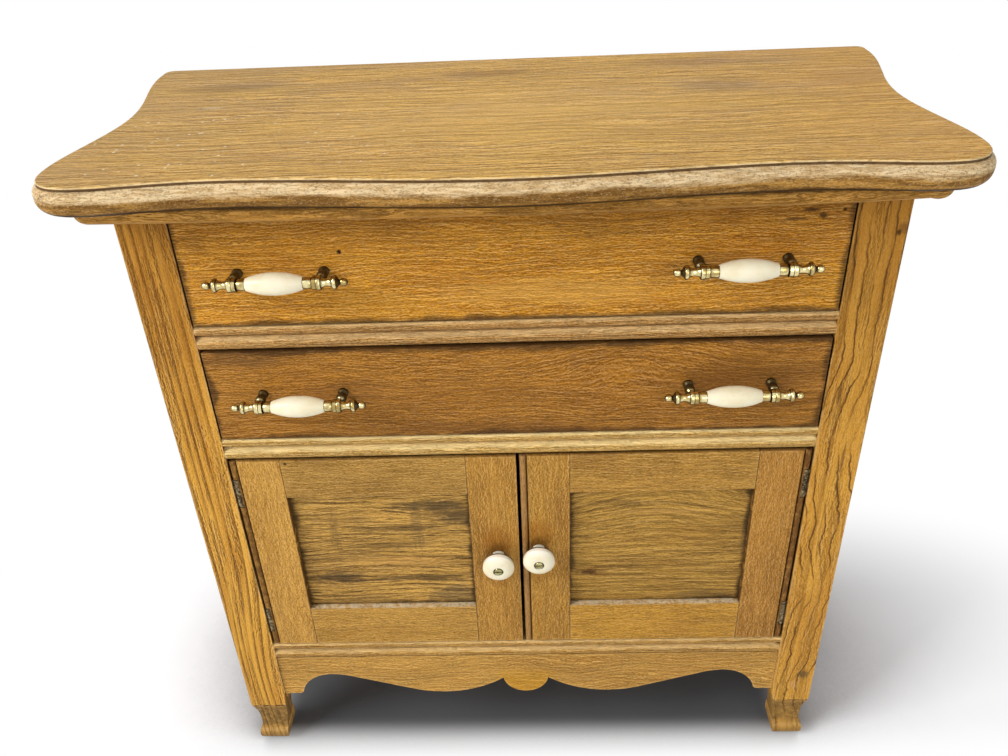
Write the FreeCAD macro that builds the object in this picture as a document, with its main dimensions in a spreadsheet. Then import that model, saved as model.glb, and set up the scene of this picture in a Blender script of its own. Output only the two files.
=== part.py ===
"""Oak washstand: a serpentine-topped dry sink cabinet with two drawers over a pair of panelled doors.

Millimetres, +Z up, +X to the right of someone who faces the front, which looks along -Y.
The origin is on the floor, below the middle of the top board's outline.
"""
import FreeCAD, Part
import math
import os
from collections import defaultdict
from types import SimpleNamespace

import Sketcher

Vector = FreeCAD.Vector
Rotation = FreeCAD.Rotation

# ---------------------------------------------------------------- driving dimensions

SIZES = {
    # case
    "case_width": 668,          # over the outer faces of the legs
    "case_depth": 306,          # front legs' front faces to back legs' back faces
    "leg_width": 44.5,
    "leg_depth": 44.5,
    "base_rail_bottom": 155,    # floor to the underside of the lowest front rail
    "rail_height": 24.5,
    "cupboard_height": 265,     # door opening
    "lower_opening": 101,       # lower drawer's opening
    "upper_opening": 109.5,     # upper drawer's opening
    # reeded face of the front rails
    "reed_height": 13.3,        # lower reed, up to the middle of the groove
    "reed_bulge": 3,
    "reed_groove": 3,
    "reed_groove_depth": 5,
    "rail_tenon": 14,
    "tenon_thickness": 14,
    "tenon_shoulder": 4,
    # front feet
    "foot_height": 73,          # the front face is cut back below this height
    "foot_slope": 17,           # height of the slope that starts the cut
    "ankle_cut": 6,
    "foot_side_height": 77,     # the same on the outer face
    "foot_side_slope": 20,
    "ankle_side_cut": 3.4,
    "foot_taper": 10,           # the foot narrows by this on its inner face
    "ankle_hollow": 1.2,
    "toe_height": 21.5,
    "toe_ledge": 1.5,
    "toe_set": 4,               # how far the toe stays behind the leg's front face
    "toe_side_set": 0.5,        # the same on the outer face
    "toe_bulge": 1.2,
    "sole_set": 13,
    "sole_side_set": 9,
    "sole_round": 10,
    "heel_rise": 98,
    "heel_height": 22,
    "heel_hollow": 13.5,
    # apron
    "apron_bottom": 92.5,
    "apron_thickness": 19,
    "apron_set": 2,
    "apron_tenon": 10,
    "cusp_half_width": 26.2,    # half the middle lobe's width, at its cusps
    "cusp_rise": 23.5,
    "wave_low": 97,             # lowest place of each wave, from the centre line
    "wave_climb": 39,           # length along X of the wave's curved rise
    "climb_rise": 6.5,
    "slope_run": 72,            # length along X of the straight rise after it
    "slope_rise": 23.3,
    "crest_inset": 59.5,        # crest of the arch, in from the leg
    "crest_rise": 33,
    "shoulder_run": 36.5,       # crest to the end block
    "end_block_rise": 5.5,
    # sides, back and floor
    "side_set": 4,
    "side_rail_thickness": 19,
    "side_rail_height": 60,
    "panel_thickness": 7,
    "panel_groove": 8,
    "back_board": 9,
    "back_rabbet": 10,
    "back_rail_thickness": 19,
    "back_rail_height": 45,
    "back_tenon": 12,
    "board_joint": 0.6,
    "floor_thickness": 12,
    "floor_rabbet": 6,
    # sub-top frame and top board
    "sub_top_thickness": 19,
    "sub_top_overhang": 29.5,   # past the legs' front faces
    "sub_top_side": 16.5,       # past their outer faces
    "sub_top_bow": 8,
    "sub_top_round": 13.5,
    "top_edge": 23,
    "top_field": 3,
    "top_field_set": 4.5,
    "top_field_round": 1.6,
    "top_round_over": 8,
    "top_round_under": 11.5,
    "bow_overhang": 67,         # top board past the legs' front faces, at the middle
    "hollow_overhang": 51,
    "hollow_inset": 102,        # hollow of the front edge, in from the legs' outer faces
    "corner_overhang": 60.5,
    "corner_run": 43,           # length along X of the front corner's curve
    "corner_side": 44,          # top board past the legs' outer faces
    "corner_ahead": 15,
    "waist_side": 27,
    "waist_behind": 125,        # narrowest place, behind the legs' front faces
    "lobe_side": 54,
    "lobe_ahead": 3,            # rear lobe's widest place, ahead of the legs' back faces
    "back_overhang": 16,
    "back_trim": 3,             # sawn off the rounded edge at the back
    # drawers
    "drawer_side_gap": 1.75,
    "drawer_top_gap": 2.2,
    "drawer_foot_gap": 1.5,
    "drawer_rear_gap": 8,       # drawer's rear end to the back rails
    "drawer_front": 19,
    "drawer_lap": 6,            # wood left in front of the dovetails
    "drawer_side": 11,
    "drawer_side_drop": 3,      # sides stay this much below the front's top edge
    "drawer_floor": 6,
    "drawer_groove": 5,
    "drawer_back_set": 8,       # back board, in from the sides' rear ends
    "drawer_back_drop": 6,
    "tail_tip": 22,             # dovetail, at its wide end
    "tail_root": 15,
    "runner_width": 28,
    "runner_height": 22,
    "guide_width": 18,
    "guide_rise": 20,
    # doors
    "door_side_gap": 1.5,
    "door_foot_gap": 2,
    "door_top_gap": 2.5,
    "meeting_gap": 3.2,
    "door_thickness": 19,
    "hinge_stile": 51.5,
    "meeting_stile": 50.5,
    "door_top_rail": 46.5,
    "door_bottom_rail": 54.5,
    "door_panel": 6,
    "door_panel_set": 7,
    "door_groove": 8,
    "bead_radius": 3.5,
    "quirk": 1.2,
    "stop_length": 90,
    "stop_thickness": 12,
    "stop_height": 15,
    "stop_inset": 25,           # stop block, in from the middle of the opening
    # hinges
    "hinge_length": 34,
    "hinge_top_inset": 41,      # door's top edge to the upper hinge's middle
    "hinge_bottom_inset": 37.5,
    "knuckle_radius": 3.5,
    "knuckle_gap": 0.3,
    "pin_radius": 1.4,
    "pin_clearance": 0.05,
    "pin_head": 2.4,
    "pin_head_height": 0.9,
    "leaf_thickness": 1.2,
    "leaf_gap": 0.2,
    "leaf_depth": 15,
    "leaf_lap": 1.5,            # leaf in front of the pin's axis
    "hinge_screw_head": 2.6,
    "hinge_screw_shank": 1.3,
    "hinge_screw_length": 11,
    "hinge_screw_spread": 20,
    "hinge_screw_set": 9.5,     # screws behind the pin's axis
    # knobs
    "left_knob_height": 309,
    "right_knob_height": 317,
    "left_knob_inset": 22.1,    # from the door's meeting edge
    "right_knob_inset": 17.3,
    "knob_radius": 16.5,
    "knob_reach": 22.5,
    "knob_face": 5.5,           # how far the head's face swells in front of its rim
    "knob_rim": 6,              # thickness of the head behind its face
    "knob_base": 8.8,
    "knob_neck": 5.8,
    "knob_recess": 2.2,
    "knob_screw_head": 5,
    "knob_screw_head_height": 2.2,
    "knob_screw_shank": 2,
    "knob_screw_bite": 13,
    # drawer pulls
    "pull_from_middle": 199.5,
    "pull_rise": 53,            # opening's bottom to the pull's axis
    "pull_reach": 23,           # drawer front to the pull's axis
    "post_spacing": 76.2,
    "post_radius": 4,
    "post_neck": 2.1,
    "post_taper": 2.5,
    "post_base": 4.7,
    "post_base_height": 2.4,
    "head_radius": 6.6,
    "head_width": 4.4,
    "barrel_length": 49.2,
    "barrel_radius": 10.1,
    "barrel_end": 5.6,
    "ferrule_radius": 5.5,
    "ferrule_ring": 6.2,
    "ferrule_ring_width": 3,
    "rod_radius": 2,
    "waist_length": 9,
    "waist_radius": 3.3,
    "ring_radius": 5.7,
    "ring_width": 4.2,
    "tip_radius": 3.2,
    "tip_length": 9,
    "pull_screw_head": 4.2,
    "pull_screw_head_height": 2.5,
    "pull_screw_shank": 1.8,
    "pull_screw_bite": 10,
    # fits
    "fit": 0.15,                # round a tongue, tenon, tail, rod or screw in its hole
    "rest": 0.2,                # drawer above its runner, door in front of its stop
}

TAILS = 3                       # dovetails in each corner of a drawer
BOARDS = 3                      # boards across the back

doc = FreeCAD.newDocument("washstand")
sheet = doc.addObject("Spreadsheet::Sheet", "Sizes")


class Size:
    """A length: its value, and the formula that gives it from the sheet's cells."""

    def __init__(self, value, formula):
        self.value = value
        self.formula = formula

    @staticmethod
    def of(number):
        return number if isinstance(number, Size) else Size(float(number), f"({number:g})")

    def __add__(self, other):
        other = Size.of(other)
        return Size(self.value + other.value, f"({self.formula} + {other.formula})")

    def __sub__(self, other):
        other = Size.of(other)
        return Size(self.value - other.value, f"({self.formula} - {other.formula})")

    def __mul__(self, other):
        other = Size.of(other)
        return Size(self.value * other.value, f"({self.formula} * {other.formula})")

    def __truediv__(self, other):
        other = Size.of(other)
        return Size(self.value / other.value, f"({self.formula} / {other.formula})")

    def __radd__(self, other):
        return Size.of(other) + self

    def __rmul__(self, other):
        return Size.of(other) * self

    def __neg__(self):
        return self * -1


def root(size):
    return Size(math.sqrt(size.value), f"sqrt({size.formula})")


for row, (alias, number) in enumerate(SIZES.items(), start=1):
    sheet.set(f"A{row}", alias)
    sheet.set(f"B{row}", str(number))
    sheet.setAlias(f"B{row}", alias)
doc.recompute()
S = SimpleNamespace(**{alias: Size(float(number), f"Sizes.{alias}") for alias, number in SIZES.items()})

ROUND = 1 - math.sqrt(0.5)      # how far a quarter circle of radius 1 stands off its chord

# ---------------------------------------------------------------- places worked out from them

outer = S.case_width / 2                                  # legs' outer faces, from the middle
inner = outer - S.leg_width                               # legs' inner faces
top_depth = S.bow_overhang + S.case_depth + S.back_overhang
front = S.bow_overhang - top_depth / 2                    # legs' front faces
back = front + S.case_depth                               # legs' back faces
legs_end = front + S.leg_depth                            # front legs' back faces
back_legs_start = back - S.leg_depth
boards_front = back - S.back_board
back_rail_front = boards_front - S.back_rail_thickness

base_top = S.base_rail_bottom + S.rail_height
cupboard_top = base_top + S.cupboard_height
lower_bottom = cupboard_top + S.rail_height
lower_top = lower_bottom + S.lower_opening
upper_bottom = lower_top + S.rail_height
leg_top = upper_bottom + S.upper_opening
sub_top_top = leg_top + S.sub_top_thickness

side_outer = outer - S.side_set
side_inner = side_outer - S.side_rail_thickness
side_middle = (side_outer + side_inner) / 2
side_bottom = base_top - S.side_rail_height

SIDES = (("left", -1), ("right", 1))
nodes = []                    # the sub-parts, in the order they are made
carved = defaultdict(list)    # what is cut out of a sub-part that is finished later

# ---------------------------------------------------------------- ways of making a piece


def bind(thing, path, size):
    """Ties one property to the sheet."""
    thing.setExpression(path, Size.of(size).formula)


def place(thing, x=0, y=0, z=0, turn=None):
    if turn:
        thing.Placement = FreeCAD.Placement(Vector(), turn)
    for letter, size in zip("xyz", (x, y, z)):
        bind(thing, f"Placement.Base.{letter}", size)


def node(label, thing):
    """Names a finished sub-part."""
    thing.Label = label
    nodes.append(thing)


def box(name, x, y, z):
    """Block between two places along each axis."""
    block = doc.addObject("Part::Box", name)
    for path, (low, high) in zip(("Length", "Width", "Height"), (x, y, z)):
        bind(block, path, Size.of(high) - low)
    place(block, x[0], y[0], z[0])
    return block


def wedge(name, x, y, z_front, z_back):
    """Block whose height changes along Y."""
    block = doc.addObject("Part::Wedge", name)
    ends = {"Xmin": x[0], "Xmax": x[1], "X2min": x[0], "X2max": x[1], "Ymin": y[0], "Ymax": y[1],
            "Zmin": z_front[0], "Zmax": z_front[1], "Z2min": z_back[0], "Z2max": z_back[1]}
    for path, size in ends.items():
        bind(block, path, size)
    return block


TURN_Z_TO = {
    "x": Rotation(Vector(0, 1, 0), 90),
    "-x": Rotation(Vector(0, 1, 0), -90),
    "y": Rotation(Vector(1, 0, 0), -90),
    "-y": Rotation(Vector(1, 0, 0), 90),
    "z": Rotation(),
}
TOWARDS = {-1: "-x", 1: "x"}


def cylinder(name, towards, start, radius, length):
    """Round bar from a point, along one of the axes."""
    bar = doc.addObject("Part::Cylinder", name)
    bind(bar, "Radius", radius)
    bind(bar, "Height", length)
    place(bar, *start, turn=TURN_Z_TO[towards])
    return bar


def fuse(name, pieces):
    joined = doc.addObject("Part::MultiFuse", name)
    joined.Shapes = pieces
    return joined


def cut(name, base, tools):
    """The base less the tools, or the base itself when there are none."""
    if not tools:
        return base
    less = doc.addObject("Part::Cut", name)
    less.Base = base
    less.Tool = tools[0] if len(tools) == 1 else fuse(f"{name}_cuts", tools)
    return less


def common(name, pieces):
    shared = doc.addObject("Part::MultiCommon", name)
    shared.Shapes = pieces
    return shared


def group(name, pieces):
    """Separate solids that share a node."""
    together = doc.addObject("Part::Compound", name)
    together.Links = pieces
    return together


def span(sign, near, far):
    """Low and high X of something between two distances from the middle, on one side."""
    return (near, far) if sign > 0 else (-Size.of(far), -Size.of(near))


def wider(ends, by):
    return (ends[0] - by, ends[1] + by)


def arc_middle(start, end, bulge):
    """Point half way along an arc that stands off its chord by bulge, to the right of its way."""
    along = end - start
    return (start + end) / 2 + Vector(along.y, -along.x, 0).normalize() * bulge


def easing(along, aside):
    """Bulge of an arc that runs level at one end and gets aside by the other, a length along."""
    chord = root(along * along + aside * aside)
    return chord * (chord - along) / (aside * 2)


def draw(body, role, corners):
    """Closed sketch on an origin plane of the body. A corner is (u, v), or (u, v, bulge) where the
    edge to the next corner is an arc. Every corner and radius is tied to the sheet."""
    sketch = body.newObject("Sketcher::SketchObject", f"{body.Name}_sketch")
    plane = [feature for feature in body.Origin.OriginFeatures if feature.Role == role][0]
    sketch.AttachmentSupport = [(plane, "")]
    sketch.MapMode = "FlatFace"
    corners = [tuple(Size.of(part) for part in corner) for corner in corners]
    points = [Vector(u.value, v.value, 0) for u, v, *_ in corners]
    edges = []
    for index, corner in enumerate(corners):
        start, end = points[index], points[(index + 1) % len(points)]
        if len(corner) == 3:
            edge = Part.Arc(start, arc_middle(start, end, corner[2].value), end)
        else:
            edge = Part.LineSegment(start, end)
        edges.append(sketch.addGeometry(edge, False))

    def nearest(edge, point):
        return min((1, 2), key=lambda end: (sketch.getPoint(edge, end) - point).Length)

    for index, edge in enumerate(edges):
        following = (index + 1) % len(edges)
        joint = points[following]
        sketch.addConstraint(Sketcher.Constraint(
            "Coincident", edge, nearest(edge, joint), edges[following], nearest(edges[following], joint)))
    for index, corner in enumerate(corners):
        edge, point = edges[index], points[index]
        for kind, part, value in zip(("DistanceX", "DistanceY"), corner, (point.x, point.y)):
            number = sketch.addConstraint(
                Sketcher.Constraint(kind, -1, 1, edge, nearest(edge, point), value))
            bind(sketch, f"Constraints[{number}]", part)
        if len(corner) == 3:
            end = corners[(index + 1) % len(corners)]
            across, up = end[0] - corner[0], end[1] - corner[1]
            bulge = corner[2] if corner[2].value > 0 else -corner[2]
            radius = (across * across + up * up) / (bulge * 8) + bulge / 2
            number = sketch.addConstraint(Sketcher.Constraint("Radius", edge, radius.value))
            bind(sketch, f"Constraints[{number}]", radius)
    sketch.Visibility = False
    return sketch


def moulding(name, role, corners, length, at=(0, 0, 0)):
    """Straight piece of one section: the section's sketch, padded towards +X, +Y or +Z."""
    body = doc.addObject("PartDesign::Body", name)
    pad = body.newObject("PartDesign::Pad", f"{name}_pad")
    pad.Profile = draw(body, role, corners)
    pad.Reversed = role == "XZ_Plane"
    bind(pad, "Length", length)
    place(body, *at)
    return body


def turned(name, towards, at, corners):
    """Turned piece: its corners are (radius, distance along the axis)."""
    body = doc.addObject("PartDesign::Body", name)
    sketch = draw(body, "XZ_Plane", corners)
    spin = body.newObject("PartDesign::Revolution", f"{name}_spin")
    spin.Profile = sketch
    spin.ReferenceAxis = (sketch, ["V_Axis"])
    spin.Angle = 360
    place(body, *at, turn=TURN_Z_TO[towards])
    return body


def mirrored(corners):
    """The same outline, turned round its v axis."""
    return [(-Size.of(u), v, *[-Size.of(part) for part in bulge]) for u, v, *bulge in corners]


def tenon(name, side, sign, leg, length, depth, height):
    """Tenon on a rail's end, whose mortise is carved in the leg."""
    carved[leg].append(box(f"{name}_{side}_mortise", span(sign, inner, inner + length + S.fit),
                           wider(depth, S.fit), wider(height, S.fit)))
    return box(f"{name}_{side}_tenon", span(sign, inner, inner + length), depth, height)


# ---------------------------------------------------------------- front rails


def front_rail(name, bottom):
    """Rail with a double-reeded face, tenoned into the front legs."""
    groove = (S.reed_height - S.reed_groove / 2, S.reed_height + S.reed_groove / 2)
    section = [
        (S.leg_depth, 0),
        (S.leg_depth, S.rail_height),
        (S.reed_bulge, S.rail_height, S.reed_bulge),
        (S.reed_bulge, groove[1]),
        (S.reed_groove_depth, S.reed_height),
        (S.reed_bulge, groove[0], S.reed_bulge),
        (S.reed_bulge, 0),
    ]
    pieces = [moulding(f"{name}_bar", "YZ_Plane", section, inner * 2, at=(-inner, front, bottom))]
    middle = front + S.leg_depth / 2
    depth = wider((middle, middle), S.tenon_thickness / 2)
    height = (bottom + S.tenon_shoulder, bottom + S.rail_height - S.tenon_shoulder)
    for side, sign in SIDES:
        pieces.append(tenon(name, side, sign, f"front_leg_{side}", S.rail_tenon, depth, height))
    node(name, cut(f"{name}_cut", fuse(f"{name}_whole", pieces), carved[name]))


# the cupboard's floor lies in a rabbet along the rails round it
floor_x = side_inner + S.floor_rabbet
floor_y = (legs_end - S.floor_rabbet, back_rail_front + S.floor_rabbet)
floor_z = (base_top - S.floor_thickness, base_top)
for rail in ("base_rail", "back_rail_bottom", "side_rail_bottom_left", "side_rail_bottom_right"):
    carved[rail].append(box(f"floor_seat_{rail}", (-floor_x, floor_x), floor_y, floor_z))

front_rail("drawer_rail", lower_top)
front_rail("cupboard_rail", cupboard_top)
front_rail("base_rail", S.base_rail_bottom)

# ---------------------------------------------------------------- apron


def apron_edge():
    """Right half of the scalloped edge: cusp, wave, slope, crest, shoulder, end block."""
    bottom = S.apron_bottom
    crest = inner - S.crest_inset
    block = crest + S.shoulder_run
    wave = S.wave_low - S.cusp_half_width
    climb = S.wave_low + S.wave_climb
    slope_end = (climb + S.slope_run, bottom + S.climb_rise + S.slope_rise)
    return [
        (S.cusp_half_width, bottom + S.cusp_rise, easing(wave, S.cusp_rise)),
        (S.wave_low, bottom, easing(S.wave_climb, S.climb_rise)),
        (climb, bottom + S.climb_rise),
        (*slope_end, -easing(crest - slope_end[0], bottom + S.crest_rise - slope_end[1])),
        (crest, bottom + S.crest_rise, -easing(S.shoulder_run, S.crest_rise - S.end_block_rise)),
        (block, bottom + S.end_block_rise, S.end_block_rise * ROUND),
        (block + S.end_block_rise, bottom),
        (inner, bottom),
        (inner, S.base_rail_bottom),
    ]


def both_halves(right, bottom_bulge):
    """A symmetrical outline from its right half."""
    left = []
    for index in range(len(right) - 1, -1, -1):
        u, v, *_ = right[index]
        left.append((-Size.of(u), v, *(right[index - 1][2:] if index else (bottom_bulge,))))
    return right + left


apron_depth = (front + S.apron_set, front + S.apron_set + S.apron_thickness)
pieces = [moulding("apron_board", "XZ_Plane", both_halves(apron_edge(), S.cusp_rise),
                   S.apron_thickness, at=(0, apron_depth[0], 0))]
for side, sign in SIDES:
    pieces.append(tenon(
        "apron", side, sign, f"front_leg_{side}", S.apron_tenon,
        (apron_depth[0] + S.tenon_shoulder, apron_depth[1] - S.tenon_shoulder),
        (S.apron_bottom + S.tenon_shoulder * 2, S.base_rail_bottom - S.tenon_shoulder)))
node("apron", fuse("apron_whole", pieces))

# ---------------------------------------------------------------- sides


def side_frame(side, sign):
    """Two rails and a panel whose tongues lie in grooves of the legs."""
    tongue_x = span(sign, side_middle - S.panel_thickness / 2, side_middle + S.panel_thickness / 2)
    groove_x = wider(tongue_x, S.fit)
    rail_x = span(sign, side_inner, side_outer)
    along = (legs_end, back_legs_start)
    reach = S.panel_groove - S.fit
    edges = {
        "bottom": (side_bottom, base_top, (base_top - S.panel_groove, base_top)),
        "top": (leg_top - S.side_rail_height, leg_top,
                (leg_top - S.side_rail_height, leg_top - S.side_rail_height + S.panel_groove)),
    }
    rails = []
    for end, (low, high, groove) in edges.items():
        tongue = (low, groove[0]) if end == "bottom" else (groove[1], high)
        name = f"side_rail_{end}_{side}"
        whole = fuse(f"{name}_whole", [
            box(f"{name}_bar", rail_x, along, (low, high)),
            box(f"{name}_tongue", tongue_x, wider(along, reach), tongue),
        ])
        tools = [box(f"{name}_groove", groove_x, along, groove), *carved[name]]
        rails.append(cut(name, whole, tools))
    node(f"{side}_side_rails", group(f"side_rails_{side}", rails))
    node(f"{side}_side_panel", box(
        f"side_panel_{side}", tongue_x, wider(along, reach),
        wider((base_top, leg_top - S.side_rail_height), reach)))
    carved[f"front_leg_{side}"].append(box(
        f"front_groove_{side}", groove_x, (legs_end - S.panel_groove, legs_end), (side_bottom, leg_top)))
    carved[f"back_leg_{side}"].append(box(
        f"back_groove_{side}", groove_x, (back_legs_start, back_legs_start + S.panel_groove),
        (side_bottom, leg_top)))


for side, sign in SIDES:
    side_frame(side, sign)

# ---------------------------------------------------------------- back and floor


def back_rail(end, low):
    """Rail between the back legs, which the back boards are nailed to."""
    name = f"back_rail_{end}"
    depth = (back_rail_front, boards_front)
    height = (low, low + S.back_rail_height)
    pieces = [box(f"{name}_bar", (-inner, inner), depth, height)]
    for side, sign in SIDES:
        pieces.append(tenon(name, side, sign, f"back_leg_{side}", S.back_tenon,
                            wider(depth, -S.tenon_shoulder), wider(height, -S.tenon_shoulder)))
    return cut(name, fuse(f"{name}_whole", pieces), carved[name])


node("back_rails", group("back_rail_pair", [
    back_rail("bottom", base_top - S.back_rail_height),
    back_rail("top", leg_top - S.back_rail_height),
]))

boards_end = inner + S.back_rabbet - S.board_joint
board_width = (boards_end * 2 - S.board_joint * (BOARDS - 1)) / BOARDS
boards = []
for index in range(BOARDS):
    low = -boards_end + (board_width + S.board_joint) * index
    boards.append(box(f"back_board_{index + 1}", (low, low + board_width), (boards_front, back),
                      (side_bottom, leg_top)))
node("back_boards", group("back_board_set", boards))

notches = []
for side, sign in SIDES:
    notches.append(box(f"floor_notch_{side}", span(sign, inner - S.fit, outer),
                       (back_legs_start - S.fit, back), wider(floor_z, S.fit)))
    notches.append(box(f"floor_front_notch_{side}", span(sign, inner - S.fit, outer),
                       (front, legs_end + S.fit), wider(floor_z, S.fit)))
    carved[f"back_leg_{side}"].append(box(
        f"back_rabbet_{side}", span(sign, inner, inner + S.back_rabbet), (boards_front, back),
        (side_bottom, leg_top)))
node("cupboard_floor", cut("floor_board", box(
    "floor_blank", (S.fit - floor_x, floor_x - S.fit), wider(floor_y, -S.fit), floor_z), notches))

# ---------------------------------------------------------------- runners and stops

runners = []
for level, bottom in (("lower", lower_bottom), ("upper", upper_bottom)):
    for side, sign in SIDES:
        section = [
            (-S.runner_width, -S.runner_height),
            (S.guide_width, -S.runner_height),
            (S.guide_width, S.guide_rise),
            (0, S.guide_rise),
            (0, 0),
            (-S.runner_width, 0),
        ]
        if sign < 0:
            section = mirrored(section)
        name = f"{level}_runner_{side}"
        runners.append(fuse(f"{name}_whole", [
            moulding(name, "XZ_Plane", section, back_legs_start - legs_end,
                     at=(inner * sign, legs_end, bottom)),
            box(f"{name}_end", span(sign, inner - S.runner_width, inner),
                (back_legs_start, back_rail_front), (bottom - S.runner_height, bottom)),
        ]))
node("drawer_runners", group("runner_set", runners))

stops = []
for side, sign in SIDES:
    stop_front = front + S.door_thickness + S.rest
    stops.append(box(f"door_stop_{side}", span(sign, S.stop_inset, S.stop_inset + S.stop_length),
                     (stop_front, stop_front + S.stop_thickness),
                     (cupboard_top - S.stop_height, cupboard_top)))
node("door_stops", group("stop_pair", stops))

# ---------------------------------------------------------------- hinges

axis_y = front + S.bead_radius
axis_x = inner - S.door_side_gap - S.bead_radius + S.leaf_thickness / 2     # from the middle
door_bottom = base_top + S.door_foot_gap
door_top = cupboard_top - S.door_top_gap
hinge_heights = (("lower", door_bottom + S.hinge_bottom_inset), ("upper", door_top - S.hinge_top_inset))
knuckle = (S.hinge_length - S.knuckle_gap * 2) / 3
case_leaves, pins, case_screws = [], [], []
door_leaves, door_screws = defaultdict(list), defaultdict(list)


def hinge_screw(name, sign, x, y, z, wood):
    """Countersunk screw towards sign along X, with its hole carved in the wood behind it."""
    carved[wood].append(cylinder(f"{name}_hole", TOWARDS[sign], (x, y, z),
                                 S.hinge_screw_shank + S.fit, S.hinge_screw_length + S.fit))
    return turned(name, TOWARDS[sign], (x, y, z), [
        (0, 0),
        (S.hinge_screw_head, 0),
        (S.hinge_screw_shank, S.leaf_thickness),
        (S.hinge_screw_shank, S.hinge_screw_length),
        (0, S.hinge_screw_length),
    ])


def leaf(name, sign, x_near, x_far, z, knuckles, gaps, screw_sign, wood):
    """Leaf of a butt hinge with its knuckles; gaps are the other leaf's places along the pin."""
    depth = (axis_y - S.leaf_lap, axis_y - S.leaf_lap + S.leaf_depth)
    height = (z - S.hinge_length / 2, z + S.hinge_length / 2)
    pieces = [box(f"{name}_plate", span(sign, x_near, x_far), depth, height)]
    axis = axis_x * sign
    for low, high in knuckles:
        pieces.append(cylinder(f"{name}_knuckle", "z", (axis, axis_y, low), S.knuckle_radius, high - low))
    tools = [cylinder(f"{name}_bore", "z", (axis, axis_y, height[0]),
                      S.pin_radius + S.pin_clearance, S.hinge_length)]
    for low, high in gaps:
        tools.append(cylinder(f"{name}_gap", "z", (axis, axis_y, low),
                              S.knuckle_radius + S.knuckle_gap, high - low))
    screws = []
    face = (x_near if screw_sign == sign else x_far) * sign
    for end, side_of in (("low", -1), ("high", 1)):
        place_z = z + S.hinge_screw_spread / 2 * side_of
        place_y = axis_y + S.hinge_screw_set
        screws.append(hinge_screw(f"{name}_screw_{end}", screw_sign, face, place_y, place_z, wood))
        tools.append(turned(f"{name}_sink_{end}", TOWARDS[screw_sign], (face, place_y, place_z), [
            (0, 0),
            (S.hinge_screw_head + S.fit, 0),
            (S.hinge_screw_shank + S.fit, S.leaf_thickness),
            (0, S.leaf_thickness),
        ]))
    return cut(name, fuse(f"{name}_whole", pieces), tools), screws


for side, sign in SIDES:
    for end, z in hinge_heights:
        name = f"{side}_{end}_hinge"
        low, high = z - S.hinge_length / 2, z + S.hinge_length / 2
        middle = (low + knuckle + S.knuckle_gap, high - knuckle - S.knuckle_gap)
        outer_knuckles = ((low, low + knuckle), (high - knuckle, high))
        case_near = inner - S.leaf_thickness
        door_far = case_near - S.leaf_gap
        plate, screws = leaf(f"{name}_case_leaf", sign, case_near, inner, z, outer_knuckles,
                             [wider(middle, S.knuckle_gap)], sign, f"front_leg_{side}")
        case_leaves.append(plate)
        case_screws.extend(screws)
        door_near = door_far - S.leaf_thickness
        plate, screws = leaf(f"{name}_door_leaf", sign, door_near, door_far, z, [middle],
                             [(low, low + knuckle + S.knuckle_gap), (high - knuckle - S.knuckle_gap, high)],
                             -sign, f"{side}_hinge_stile")
        door_leaves[side].append(plate)
        door_screws[side].extend(screws)
        pins.append(turned(f"{name}_pin", "z", (axis_x * sign, axis_y, low), [
            (0, -S.pin_head_height),
            (S.pin_head, -S.pin_head_height),
            (S.pin_head, 0),
            (S.pin_radius, 0),
            (S.pin_radius, S.hinge_length),
            (S.pin_head, S.hinge_length),
            (S.pin_head, S.hinge_length + S.pin_head_height),
            (0, S.hinge_length + S.pin_head_height),
        ]))
        room = S.pin_head_height + S.knuckle_gap
        carved[f"{side}_hinge_stile"].append(cylinder(
            f"{name}_notch", "z", (axis_x * sign, axis_y, low - room),
            S.knuckle_radius + S.knuckle_gap, S.hinge_length + room * 2))
        carved[f"{side}_hinge_stile"].append(box(
            f"{name}_mortise", span(sign, door_near, inner),
            (axis_y - S.leaf_lap, axis_y - S.leaf_lap + S.leaf_depth), (low, high)))
node("case_hinge_leaves", group("case_leaf_set", case_leaves))
node("hinge_pins", group("pin_set", pins))
node("case_hinge_screws", group("case_screw_set", case_screws))

# ---------------------------------------------------------------- legs


def foot_face(top, slope, ankle, toe, sole):
    """Edge of a foot's shaped face, from the sole up: (set back from the leg's face, height)."""
    return [
        (sole, 0, -S.sole_round * 0.13),
        (toe, S.sole_round, -S.toe_bulge),
        (toe, S.toe_height),
        (ankle, S.toe_height + S.toe_ledge, S.ankle_hollow),
        (ankle, top - slope),
        (0, top),
        (0, leg_top),
    ]


def front_leg(side, sign):
    """Leg whose foot is band-sawn from the front and from the side."""
    heel = S.leg_depth - S.toe_set
    from_side = foot_face(S.foot_height, S.foot_slope, S.ankle_cut, S.toe_set, S.sole_set) + [
        (S.leg_depth, leg_top),
        (S.leg_depth, S.heel_rise, S.heel_hollow),
        (heel, S.heel_height),
        (heel, S.sole_round, -S.sole_round * 0.13),
        (S.leg_depth - S.sole_set, 0),
    ]
    narrow = S.leg_width - S.foot_taper
    from_front = foot_face(S.foot_side_height, S.foot_side_slope, S.ankle_side_cut, S.toe_side_set,
                           S.sole_side_set) + [
        (S.leg_width, leg_top),
        (S.leg_width, S.apron_bottom + S.end_block_rise),
        (narrow, S.toe_height),
        (narrow, S.sole_round),
        (narrow - S.sole_side_set + S.toe_set, 0),
    ]
    if sign > 0:
        from_front = mirrored(from_front)
    name = f"front_leg_{side}"
    blank = common(f"{name}_blank", [
        moulding(f"{name}_from_side", "YZ_Plane", from_side, S.leg_width,
                 at=(span(sign, inner, outer)[0], front, 0)),
        moulding(f"{name}_from_front", "XZ_Plane", from_front, S.leg_depth, at=(outer * sign, front, 0)),
    ])
    node(name, cut(f"{name}_cut", blank, carved[name]))


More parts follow.
